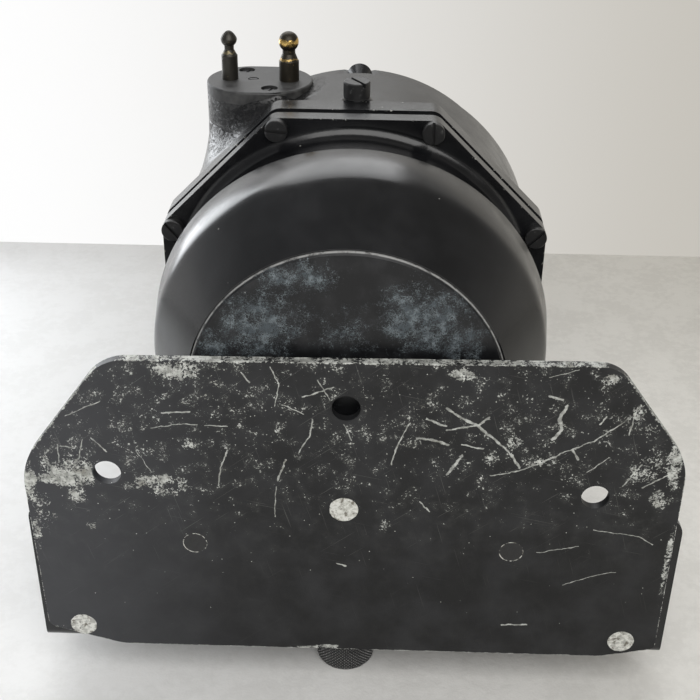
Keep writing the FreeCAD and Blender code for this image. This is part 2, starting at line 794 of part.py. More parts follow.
def bezel_ring():
    """Ring that clamps the window, with a lug at the top."""
    inner = glass_radius + seat_gap
    ring = turned_y([
        (inner, nose_y), (bezel_radius, nose_y), (bezel_radius, bezel_y + bezel_chamfer),
        (bezel_radius - bezel_chamfer, bezel_y), (bezel_opening + 0.8, bezel_y),
        (bezel_opening, bezel_y + 0.8), (bezel_opening, bezel_y + bezel_lip), (inner, bezel_y + bezel_lip)])
    half = lug_width / 2
    lug = box(-half, half, nose_y - lug_length, nose_y, glass_radius + 2, lug_top - half)
    lug = lug.fuse(along_y(half, 0, lug_top - half, nose_y - lug_length, nose_y))
    ring = ring.fuse(lug)
    for i in range(bezel_screws):
        place = on_circle(bezel_screw_circle, bezel_screw_angle(i), bezel_y)
        ring = ring.cut(Part.makeCylinder(bezel_screw_head_radius + seat_gap, bezel_screw_head, place, V(0, 1, 0)))
        ring = ring.cut(Part.makeCylinder(bezel_screw_radius + seat_gap, bezel_length, place, V(0, 1, 0)))
    return ring.removeSplitter()


def bezel_screw_set():
    """Sunk screws round the bezel."""
    screw = slotted_screw(bezel_screw_head_radius, bezel_screw_head, bezel_screw_radius, bezel_screw_length, 40, 0.1)
    screws = []
    for i in range(bezel_screws):
        place = on_circle(bezel_screw_circle, bezel_screw_angle(i), bezel_y + bezel_screw_head)
        screws.append(laid(screw, place, V(0, -1, 0)))
    return Part.Compound(screws)


def window_glass():
    """Domed window with a flat rim under the bezel's lip."""
    rim_y = bezel_y + bezel_lip
    back_y = rim_y + glass_thickness
    rise = glass_crown
    shoulder = bezel_opening - seat_gap
    sphere = (shoulder ** 2 + rise ** 2) / (2 * rise)
    half = shoulder / 2
    bow = rise - (sphere - math.sqrt(sphere ** 2 - half ** 2))
    return turned_y([
        (0, back_y - rise), ((half, back_y - bow), (shoulder, back_y)), (glass_radius, back_y),
        (glass_radius, rim_y), (shoulder, rim_y), ((half, rim_y - bow), (0, rim_y - rise))])


def window_gasket():
    """Ring between the glass and the bowl's nose."""
    back_y = bezel_y + bezel_lip + glass_thickness
    return drum(glass_radius, back_y, nose_y).cut(drum(gasket_inner, back_y, nose_y))


def mask_ring():
    """Flat mask inside the front wall."""
    y = front_wall_y + mask_thickness
    return drum(mask_radius, front_wall_y, y).cut(drum(mask_opening, front_wall_y, y))


def lubber_line():
    """Upright reading wire across the mask's opening."""
    return post(lubber_radius, 0, front_wall_y - lubber_radius, -lubber_reach, lubber_reach)


def stem_post():
    """Hollow stem screwed to the bowl's floor."""
    top = stem_boss_top + stem_flange
    stem = post(stem_flange_radius, 0, pivot_y, stem_boss_top, top)
    stem = stem.fuse(post(stem_radius, 0, pivot_y, top, stem_top))
    stem = stem.fuse(post(stem_spigot_radius, 0, pivot_y, stem_boss_top - stem_spigot, stem_boss_top))
    return stem.cut(post(jewel_rod_radius + running_fit, 0, pivot_y, stem_top - stem_bore_depth, stem_top))


def stem_spring():
    """Coil spring of flat wire under the jewel's rod."""
    floor = stem_top - stem_bore_depth
    height = jewel_rod_end - floor
    outer = jewel_rod_radius - running_fit
    inner = outer - spring_width
    rise = height - spring_wire
    middle = (outer + inner) / 2
    helix = Part.makeHelix(rise / spring_turns, rise, middle)
    corners = [V(inner, 0, 0), V(outer, 0, 0), V(outer, 0, spring_wire), V(inner, 0, spring_wire), V(inner, 0, 0)]
    spring = Part.Wire(helix).makePipeShell([Part.makePolygon(corners)], True, True)
    spring.translate(V(0, pivot_y, floor))
    return spring


def jewel_cup():
    """Sprung rod with the dished jewel that carries the pivot."""
    rim = pivot_z - pivot_ball_radius + jewel_rim
    rod = turned(
        [(0, jewel_rod_end), (jewel_rod_radius, jewel_rod_end), (jewel_rod_radius, rim - 0.5),
         (jewel_rod_radius - 0.5, rim), (0, rim)], V(0, pivot_y, 0), V(0, 0, 1))
    dish = Part.makeSphere(jewel_dish_radius, V(0, pivot_y, pivot_z - pivot_ball_radius + jewel_dish_radius))
    return rod.cut(dish)


def pivot_pin():
    """Pin of the card, with a ball seat below and a shoulder under the float."""
    shoulder = pivot_z + 1.2
    pin = turned(
        [(0, pivot_z + 0.15), (0.75, pivot_z + 0.15), (pin_radius, shoulder),
         (pin_shoulder_radius, shoulder), (pin_shoulder_radius, shoulder + pin_shoulder),
         (pin_radius, shoulder + pin_shoulder), (pin_radius, pin_top), (0, pin_top)],
        V(0, pivot_y, 0), V(0, 0, 1))
    return pin.cut(Part.makeSphere(pivot_ball_radius + 0.02, V(0, pivot_y, pivot_z)))


def card_float():
    """Hollow float of the card, open below for the stem."""
    bore = pin_radius + running_fit
    seat = pivot_z + 1.2 + pin_shoulder + running_fit
    return turned(
        [(bore, seat), (float_throat - 1, seat), (float_throat, float_bottom), (float_radius - 3.5, float_bottom),
         (float_radius, float_bottom + 2.2), (float_radius, card_height / 2 + 0.2),
         ((float_radius - 3.4, float_top - 1.0), (3.0, float_top)), (bore, float_top)],
        V(0, pivot_y, 0), V(0, 0, 1))


def card_dial():
    """Card: a skirt for the scale and a flat web that joins it to the float."""
    top = card_height / 2
    skirt = post(card_radius, 0, pivot_y, -top, top).cut(post(card_radius - card_wall, 0, pivot_y, -top, top))
    web = post(card_radius - card_wall, 0, pivot_y, top - card_web, top)
    web = web.cut(post(float_radius, 0, pivot_y, top - card_web, top))
    return skirt.fuse(web).removeSplitter()


def magnet_holder():
    """Flat ring under the float, grooved for the card's magnets."""
    low = float_bottom - holder_thickness
    ring = post(holder_radius, 0, pivot_y, low, float_bottom)
    ring = ring.cut(post(float_throat, 0, pivot_y, low, float_bottom))
    for bar in card_magnet_bars():
        ring = ring.cut(bar)
    return ring


def card_magnet_bars():
    """Two parallel bar magnets, let into the holder."""
    half = card_magnet_side / 2
    top = float_bottom - holder_thickness / 2
    bars = []
    for y in (pivot_y - card_magnet_offset, pivot_y + card_magnet_offset):
        bars.append(box(-card_magnet_length / 2, card_magnet_length / 2, y - half, y + half,
                        top - card_magnet_side, top))
    return bars


def connector_block():
    """Insulating block on the boss, bored for the pins and screws."""
    block = Part.Face(boss_outline(0, connector_seat)).extrude(V(0, 0, connector_thickness))
    rim = [e for e in block.Edges if abs(e.CenterOfMass.z - connector_top) < 0.01]
    block = block.makeFillet(connector_edge, rim)
    for x, neck in ((large_pin_x, large_pin_neck), (small_pin_x, small_pin_neck)):
        block = block.cut(post(neck, x, boss_y, connector_seat, connector_top))
    for x, y in connector_screw_places:
        block = block.cut(post(connector_screw_radius + seat_gap, x, y, connector_seat, connector_top))
        block = block.cut(post(connector_screw_head_radius + seat_gap, x, y, connector_top - connector_screw_sink,
                               connector_top))
    x, y = center_screw_place
    block = block.cut(post(connector_screw_radius * 0.8, x, y, connector_seat, connector_top))
    block = block.cut(post(center_screw_head_radius + seat_gap, x, y, connector_top - 0.6, connector_top))
    return block


def contact_pin(x, radius, neck, tail_bottom):
    """Ball-ended contact pin with a tail through the block."""
    top = connector_top + pin_height
    ball = top - radius
    half = neck * 0.5
    reach = math.sqrt(radius ** 2 - neck ** 2)
    shank = ball - radius - 1.1
    return turned(
        [(0, tail_bottom), (neck, tail_bottom), (neck, connector_top), (radius + pin_flange * 0.4, connector_top),
         (radius + pin_flange * 0.4, connector_top + pin_flange), (radius, connector_top + pin_flange),
         (radius, shank - half), (neck, shank + half), (neck, ball - reach),
         ((radius, ball), (0, top))],
        V(x, boss_y, 0), V(0, 0, 1))


def connector_screws():
    """Two sunk screws that hold the block."""
    seat = connector_top - connector_screw_sink
    length = seat - connector_seat + 3.0
    screw = slotted_screw(connector_screw_head_radius, 1.0, connector_screw_radius, length, 70, 0.1)
    return Part.Compound([laid(screw, V(x, y, seat), V(0, 0, 1)) for x, y in connector_screw_places])


def center_screw():
    """Small screw between the pins."""
    x, y = center_screw_place
    seat = connector_top - 0.6
    screw = slotted_screw(center_screw_head_radius, 0.5, connector_screw_radius * 0.8,
                          seat - connector_seat + 2.2, 15, 0.1)
    return laid(screw, V(x, y, seat), V(0, 0, 1))


def lamp_parts():
    """Lamp socket, bulb and the window that lets its light into the bowl."""
    floor = connector_seat - lamp_pocket_depth
    socket = post(lamp_pocket_radius, small_pin_x, boss_y, connector_seat - lamp_base - 1, connector_seat)
    socket = socket.cut(post(lamp_socket_bore, small_pin_x, boss_y, connector_seat - lamp_base - 1, connector_seat))
    base_top = connector_seat - pin_tail
    base_bottom = base_top - lamp_base
    ball = base_bottom - lamp_glass_length + lamp_glass_radius
    corner = lamp_glass_radius * math.sqrt(0.5)
    bulb = turned(
        [(0, base_top), (lamp_base_radius, base_top), (lamp_base_radius, base_bottom),
         (lamp_glass_radius, base_bottom), (lamp_glass_radius, ball),
         ((corner, ball - corner), (0, ball - lamp_glass_radius))],
        V(small_pin_x, boss_y, 0), V(0, 0, 1))
    window = post(lamp_window_radius, small_pin_x, boss_y, floor - lamp_window_thickness, floor)
    return socket, bulb, window


os.makedirs("parts", exist_ok=True)

save("mount_plate", mount_plate())
save("shelf_bracket", shelf_bracket())
save("center_rivet", rivet(center_rivet_place, center_rivet_radius))
save("side_rivets", Part.Compound(rivet_group(side_rivet_places, side_rivet_radius)))
save("corner_rivets", Part.Compound(rivet_group(corner_rivet_places, corner_rivet_radius)))
save("base_foot", base_foot())
for side, place in knob_places.items():
    save("thumbscrew_" + side, knurled_screw(*place))

save("corrector_housing", corrector_housing())
save("corrector_screws", corrector_screws())
save("corrector_axles", corrector_axles())
c_spindle = spindle(front_reach(), box_end_wall)
save("c_spindle", laid(c_spindle, V(-unit_offset, box_front_y - 2 * seat_gap, unit_z), V(0, -1, 0)))
b_spindle = spindle(side_reach(), box_side_wall)
save("b_spindle", laid(b_spindle, V(box_half_width + 2 * seat_gap, unit_y, unit_z), V(1, 0, 0)))
for unit, x, mesh_angle in (("c", -unit_offset, -90.0), ("b", unit_offset, 0.0)):
    for level, up in (("upper", 1), ("lower", -1)):
        save(unit + "_" + level + "_wheel", face_wheel(x, mesh_angle, up))
        save(unit + "_" + level + "_magnets", wheel_magnets(x, up))

save("bowl_body", bowl_body())
save("cover_gasket", cover_gasket())
save("rear_cover", rear_cover())
save("cover_screws", cover_screws())
save("rear_cap", rear_cap())
save("rear_disc", rear_disc())
for name, piece in zip(("capsule_foot", "capsule_bellows", "capsule_end"), capsule_parts()):
    save(name, piece)
save("filler_plug", filler_plug())
save("filler_washer", filler_washer_ring())

save("bezel_ring", bezel_ring())
save("bezel_screws", bezel_screw_set())
save("window_glass", window_glass())
save("window_gasket", window_gasket())
save("mask_ring", mask_ring())
save("lubber_line", lubber_line())

save("stem_post", stem_post())
save("stem_spring", stem_spring())
save("jewel_cup", jewel_cup())
save("pivot_ball", Part.makeSphere(pivot_ball_radius, V(0, pivot_y, pivot_z)))
save("pivot_pin", pivot_pin())
save("card_float", card_float())
save("card_dial", card_dial())
save("magnet_holder", magnet_holder())
save("card_magnets", Part.Compound(card_magnet_bars()))

save("connector_block", connector_block())
lamp_socket, lamp_bulb, lamp_window = lamp_parts()
save("contact_pin_large", contact_pin(large_pin_x, large_pin_radius, large_pin_neck, connector_seat - pin_tail))
save("contact_pin_small", contact_pin(small_pin_x, small_pin_radius, small_pin_neck, connector_seat - pin_tail))
save("connector_screws", connector_screws())
save("connector_center_screw", center_screw())
save("lamp_socket", lamp_socket)
save("lamp_bulb", lamp_bulb)
save("lamp_window", lamp_window)
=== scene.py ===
"""Looks of a magnetic compass of an aircraft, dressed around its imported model.

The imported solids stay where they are. This script gives them their finishes, puts finer forms in
place of a few of them, such as the hand screws with their diamond knurl, prints the card's scale,
and sets the table, the wall, the lamps and the camera.
Blender's lengths are metres. The finishes measure in millimetres of the object's own frame: the
drum's axis lies along Y, its window faces -Y and +Z is up.
"""

import logging
import math
from dataclasses import dataclass
from enum import Enum
from functools import reduce
from typing import Callable, Sequence, Union

import bmesh
import bpy
from mathutils import Matrix, Vector


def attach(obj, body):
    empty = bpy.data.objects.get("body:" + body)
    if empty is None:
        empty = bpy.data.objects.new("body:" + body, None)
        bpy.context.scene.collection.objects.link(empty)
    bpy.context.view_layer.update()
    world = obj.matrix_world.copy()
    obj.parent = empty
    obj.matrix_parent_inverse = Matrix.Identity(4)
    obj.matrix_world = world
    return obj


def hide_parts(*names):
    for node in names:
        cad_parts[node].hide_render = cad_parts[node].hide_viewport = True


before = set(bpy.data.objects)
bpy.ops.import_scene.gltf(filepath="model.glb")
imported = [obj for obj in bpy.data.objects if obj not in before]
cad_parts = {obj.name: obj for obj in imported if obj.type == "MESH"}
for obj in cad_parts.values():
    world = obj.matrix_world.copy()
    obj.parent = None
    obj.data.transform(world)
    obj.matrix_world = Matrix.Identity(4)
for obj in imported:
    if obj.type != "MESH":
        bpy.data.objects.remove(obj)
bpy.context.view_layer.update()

log = logging.getLogger("compass")

MM = 0.001
PHOTO_SIDE = 700
SHARP_EDGE = 32.0

Colour = tuple[float, float, float]
Spot = tuple[float, float]
Socket = bpy.types.NodeSocket
Feed = Union[Socket, float, Sequence[float]]


class Slot(Enum):
    """Material slots of the record, by name; no piece made here is given one."""

    BODY_ENAMEL = "body_enamel"
    PLATE_ENAMEL = "plate_enamel"
    SCREW_BLACK = "screw_black"
    KNOB_BLACK = "knob_black"
    GASKET_RUBBER = "gasket_rubber"
    PIN_BRASS = "pin_brass"
    PIN_BRONZE = "pin_bronze"
    LUMINOUS_PAINT = "luminous_paint"


class Cut(Enum):
    """What is cut into a stretch of a hand screw."""

    NONE = "none"
    KNURL = "knurl"
    THREAD = "thread"


class Graph:
    """Node tree of one finish, with a short call for each kind of node that the finishes share."""

    def __init__(self, name: str) -> None:
        """Makes an empty material whose shader is ready to be fed.

        Args:
            name: name of the material.
        """
        self.material = bpy.data.materials.new(name)
        self.material.use_nodes = True
        self.tree = self.material.node_tree
        self.tree.nodes.clear()
        output = self.tree.nodes.new("ShaderNodeOutputMaterial")
        self.shader = self.tree.nodes.new("ShaderNodeBsdfPrincipled")
        self.feed(output.inputs["Surface"], self.shader.outputs["BSDF"])
        source = self.tree.nodes.new("ShaderNodeTexCoord")
        self.place = self.vector("SCALE", source.outputs["Object"], scale=1 / MM)
        split = self.tree.nodes.new("ShaderNodeSeparateXYZ")
        self.feed(split.inputs[0], self.place)
        self.x, self.y, self.z = split.outputs

    def feed(self, socket: Socket, value: Feed) -> None:
        """Links a socket to another one, or sets its value.

        Args:
            socket: the socket that is fed.
            value: what it gets.
        """
        if isinstance(value, bpy.types.NodeSocket):
            self.tree.links.new(value, socket)
        else:
            socket.default_value = value

    def set(self, **values: float) -> None:
        """Sets the shader's plain values; an underscore in a name stands for a space."""
        for name, value in values.items():
            self.shader.inputs[name.replace("_", " ")].default_value = value

    def math(self, operation: str, first: Feed, second: Feed = 0.0, clamp: bool = False) -> Socket:
        """Adds one step of arithmetic.

        Args:
            operation: Blender's name of the step.
            first: first number.
            second: second number, where the step has one.
            clamp: keeps the result between 0 and 1.

        Returns:
            The result's socket.
        """
        node = self.tree.nodes.new("ShaderNodeMath")
        node.operation = operation
        node.use_clamp = clamp
        for socket, value in zip(node.inputs, (first, second)):
            self.feed(socket, value)
        return node.outputs[0]

    def vector(self, operation: str, first: Feed, second: Feed = (0.0, 0.0, 0.0),
               scale: Feed = 1.0) -> Socket:
        """Adds one step of vector arithmetic.

        Args:
            operation: Blender's name of the step.
            first: first vector.
            second: second vector, where the step has one.
            scale: factor, for the step SCALE.

        Returns:
            The result's socket, a number for a length or a dot product.
        """
        node = self.tree.nodes.new("ShaderNodeVectorMath")
        node.operation = operation
        self.feed(node.inputs[0], first)
        if operation == "SCALE":
            self.feed(node.inputs["Scale"], scale)
        else:
            self.feed(node.inputs[1], second)
        number = operation in ("LENGTH", "DOT_PRODUCT", "DISTANCE")
        return node.outputs["Value" if number else "Vector"]

    def joined(self, x: Feed, y: Feed, z: Feed) -> Socket:
        """Joins three numbers into a vector.

        Args:
            x: its first number.
            y: its second number.
            z: its third number.

        Returns:
            The vector.
        """
        node = self.tree.nodes.new("ShaderNodeCombineXYZ")
        for socket, value in zip(node.inputs, (x, y, z)):
            self.feed(socket, value)
        return node.outputs[0]

    def noise(self, size: float, detail: float = 3.0, rough: float = 0.55, twist: float = 0.0,
              place: Feed | None = None, shift: float = 0.0, colour: bool = False) -> Socket:
        """Adds a cloudy pattern.

        Args:
            size: width of its clouds, in millimetres.
            detail: how many finer layers lie over them.
            rough: strength of the finer layers.
            twist: how much the pattern is warped.
            place: where it is read, or the object's own frame.
            shift: moves the pattern, so that two of one size differ.
            colour: gives three patterns as a vector.

        Returns:
            The pattern, from 0 to 1.
        """
        node = self.tree.nodes.new("ShaderNodeTexNoise")
        spot = self.vector("ADD", place or self.place, (shift, shift * 1.7, shift * 0.6))
        self.feed(node.inputs["Vector"], spot)
        node.inputs["Scale"].default_value = 1 / size
        node.inputs["Detail"].default_value = detail
        node.inputs["Roughness"].default_value = rough
        node.inputs["Distortion"].default_value = twist
        return node.outputs["Color" if colour else "Fac"]

    def cells(self, size: float) -> tuple[Socket, Socket]:
        """Adds a pattern of cells, each with a spot in it.

        Args:
            size: width of a cell, in millimetres.

        Returns:
            The distance to the nearest spot, in cells, and that cell's own random number.
        """
        node = self.tree.nodes.new("ShaderNodeTexVoronoi")
        self.feed(node.inputs["Vector"], self.place)
        node.inputs["Scale"].default_value = 1 / size
        lottery = self.tree.nodes.new("ShaderNodeSeparateXYZ")
        self.feed(lottery.inputs[0], node.outputs["Color"])
        return node.outputs["Distance"], lottery.outputs[0]

    def fade(self, value: Feed, start: Feed, end: Feed, low: float = 0.0, high: float = 1.0) -> Socket:
        """Goes smoothly from low to high while value goes from start to end.

        Args:
            value: the number that is followed.
            start: its value at the low end.
            end: its value at the high end, which may be less than start.
            low: result up to start.
            high: result from end on.

        Returns:
            The result's socket.
        """
        node = self.tree.nodes.new("ShaderNodeMapRange")
        node.interpolation_type = "SMOOTHSTEP"
        given = {"Value": value, "From Min": start, "From Max": end, "To Min": low, "To Max": high}
        for name, number in given.items():
            self.feed(node.inputs[name], number)
        return node.outputs["Result"]

    def mix(self, share: Feed, first: Feed, second: Feed) -> Socket:
        """Mixes two colours.

        Args:
            share: share of the second colour.
            first: first colour.
            second: second colour.

        Returns:
            The mixed colour.
        """
        node = self.tree.nodes.new("ShaderNodeMix")
        node.data_type = "RGBA"
        self.feed(node.inputs["Factor"], share)
        for name, value in (("A", first), ("B", second)):
            socket = next(s for s in node.inputs if s.name == name and s.type == "RGBA")
            self.feed(socket, (*value, 1.0) if isinstance(value, tuple) else value)
        return next(s for s in node.outputs if s.type == "RGBA")

    def most(self, *values: Feed) -> Socket:
        """Largest of several numbers."""
        return reduce(lambda best, value: self.math("MAXIMUM", best, value), values)

    def least(self, *values: Feed) -> Socket:
        """Smallest of several numbers."""
        return reduce(lambda best, value: self.math("MINIMUM", best, value), values)

    def both(self, first: Feed, second: Feed) -> Socket:
        """Product of two shares."""
        return self.math("MULTIPLY", first, second, clamp=True)

    def blend(self, first: Feed, second: Feed, first_share: float) -> Socket:
        """Sum of two patterns, the first with its share and the second with the rest.

        Args:
            first: first pattern.
            second: second pattern.
            first_share: weight of the first pattern, from 0 to 1.

        Returns:
            The sum's socket.
        """
        major = self.math("MULTIPLY", first, first_share)
        minor = self.math("MULTIPLY", second, 1.0 - first_share)
        return self.math("ADD", major, minor)

    def gap_to(self, value: Feed, mark: Feed) -> Socket:
        """Distance of a number from a mark, always positive."""
        return self.math("ABSOLUTE", self.math("SUBTRACT", value, mark))

    def radius(self, first: Feed, second: Feed, center: Spot = (0.0, 0.0)) -> Socket:
        """Distance from an axis.

        Args:
            first: first coordinate across the axis.
            second: second coordinate across the axis.
            center: the axis's place.

        Returns:
            The distance, in the coordinates' unit.
        """
        a = self.math("SUBTRACT", first, center[0])
        b = self.math("SUBTRACT", second, center[1])
        return self.vector("LENGTH", self.joined(a, b, 0.0))

    def specks(self, size: float, share: Feed, reach: float = 0.16) -> Socket:
        """Adds scattered dots.

        Args:
            size: spacing of the dots, in millimetres.
            share: which part of the places has a dot.
            reach: radius of a dot, in spacings.

        Returns:
            1 inside a dot and 0 elsewhere.
        """
        distance, lot = self.cells(size)
        dot = self.fade(distance, reach, reach * 0.6)
        chosen = self.math("LESS_THAN", lot, share)
        return self.both(dot, chosen)

    def colour(self, value: Feed) -> None:
        """Feeds the shader's base colour."""
        self.feed(self.shader.inputs["Base Color"], value)

    def roughness(self, value: Feed) -> None:
        """Feeds the shader's roughness."""
        self.feed(self.shader.inputs["Roughness"], value)

    def metal(self, value: Feed) -> None:
        """Feeds the shader's metallic share."""
        self.feed(self.shader.inputs["Metallic"], value)

    def dents(self, *layers: tuple[Feed, float]) -> None:
        """Raises and lowers the surface.

        Args:
            layers: pairs of a height from 0 to 1 and its depth in millimetres.
        """
        normal = None
        for height, depth in layers:
            node = self.tree.nodes.new("ShaderNodeBump")
            node.inputs["Strength"].default_value = 1.0
            node.inputs["Distance"].default_value = depth * MM
            self.feed(node.inputs["Height"], height)
            if normal is not None:
                self.feed(node.inputs["Normal"], normal)
            normal = node.outputs["Normal"]
        self.feed(self.shader.inputs["Normal"], normal)


@dataclass(frozen=True)
class Finish:
    """One finish, made into a material once."""

    name: str

    def paint(self, graph: Graph) -> None:
        """Feeds the shader of a graph; each finish has its own way."""
        raise NotImplementedError

    def material(self) -> bpy.types.Material:
        """Makes the finish's material at its first use.

        Returns:
            The material.
        """
        made = bpy.data.materials.get(self.name)
        if made is None:
            graph = Graph(self.name)
            self.paint(graph)
            made = graph.material
        return made


@dataclass(frozen=True)
class Scratch:
    """A cut through the paint, as a line of points on the plate in millimetres."""

    points: tuple[Spot, ...]
    half_width: float = 0.085


@dataclass(frozen=True)
class Patch:
    """An oval area that is rubbed or clouded, across the drum's axis and in millimetres."""

    center: Spot
    reach: Spot
    strength: float = 1.0

    def share(self, graph: Graph, outer: float, inner: float) -> Socket:
        """How strongly the patch acts at each place.

        Args:
            graph: graph of the finish.
            outer: where the patch begins, in its own reach.
            inner: from where on it has its full strength.

        Returns:
            The share, from 0 to the patch's strength.
        """
        across = graph.math("DIVIDE", graph.math("SUBTRACT", graph.x, self.center[0]), self.reach[0])
        up = graph.math("DIVIDE", graph.math("SUBTRACT", graph.z, self.center[1]), self.reach[1])
        gap = graph.vector("LENGTH", graph.joined(across, up, 0.0))
        return graph.fade(gap, outer, inner, 0.0, self.strength)


@dataclass(frozen=True)
class BodyEnamel(Finish):
    """Black enamel on the castings: half glossy, lightly dusted, rubbed along the octagon's rim."""

    colour: Colour = (0.0042, 0.0044, 0.0050)
    faded: Colour = (0.0105, 0.0108, 0.0120)
    chipped: Colour = (0.34, 0.34, 0.31)
    rim_flat: float = 38.8
    rim_planes: tuple[float, ...] = (-42.0, -45.4, -47.6, -52.6)
    boss: Spot = (20.8, -68.05)
    boss_reach: float = 13.0
    boss_foot: float = 22.0
    seam_z: float = 30.8

    def rim(self, graph: Graph) -> Socket:
        """Share of wear along the edges of the octagonal flanges.

        Args:
            graph: graph of the finish.

        Returns:
            The share, from 0 to 1.
        """
        sides = []
        for turn in range(4):
            angle = turn * math.pi / 4
            across = graph.vector("DOT_PRODUCT", graph.place, (math.cos(angle), 0.0, math.sin(angle)))
            sides.append(graph.math("ABSOLUTE", across))
        near_side = graph.fade(graph.most(*sides), self.rim_flat - 0.7, self.rim_flat - 0.1)
        gaps = [graph.gap_to(graph.y, plane) for plane in self.rim_planes]
        near_plane = graph.fade(graph.least(*gaps), 0.5, 0.05)
        return graph.both(near_side, near_plane)

    def cast_skin(self, graph: Graph) -> Socket:
        """Height of the lamp boss's cast skin: pitted, with a seam round it.

        Args:
            graph: graph of the finish.

        Returns:
            The height, from 0 to 1.
        """
        away = graph.radius(graph.x, graph.y, self.boss)
        near = graph.fade(away, self.boss_reach + 2.0, self.boss_reach)
        on_boss = graph.both(near, graph.fade(graph.z, self.boss_foot, self.boss_foot + 5.0))
        pits = graph.fade(graph.noise(0.8, detail=4.0, rough=0.65, twist=0.6, shift=61.0), 0.36, 0.50)
        sway = graph.math("MULTIPLY", graph.noise(3.0, detail=3.0, shift=33.0), 1.6)
        seam = graph.fade(graph.gap_to(graph.math("ADD", graph.z, sway), self.seam_z), 0.15, 0.55)
        return graph.both(graph.least(pits, seam), on_boss)

    def paint(self, graph: Graph) -> None:
        """Feeds the shader with enamel, fading, dust and rubbed rims.

        Args:
            graph: graph of the finish.
        """
        clouds = graph.noise(14.0, detail=5.0)
        grain = graph.noise(0.35, detail=2.0)
        fine = graph.noise(0.9, detail=4.0, rough=0.7, shift=40.0)
        worn = graph.math("ADD", graph.math("MULTIPLY", self.rim(graph), 0.19), fine)
        chips = graph.fade(worn, 0.80, 0.84)
        dust = graph.specks(2.6, 0.05, reach=0.07)
        shade = graph.mix(graph.fade(clouds, 0.35, 0.75), self.colour, self.faded)
        marked = graph.mix(graph.most(chips, graph.both(dust, 0.8)), shade, self.chipped)
        graph.colour(marked)
        gloss = graph.fade(graph.noise(4.0, detail=4.0, shift=9.0), 0.3, 0.7, 0.19, 0.27)
        graph.roughness(graph.most(gloss, graph.both(chips, 0.6)))
        graph.set(Specular_IOR_Level=0.5)
        graph.dents((grain, 0.010), (graph.math("SUBTRACT", 1.0, chips), 0.03), (self.cast_skin(graph), 0.16))


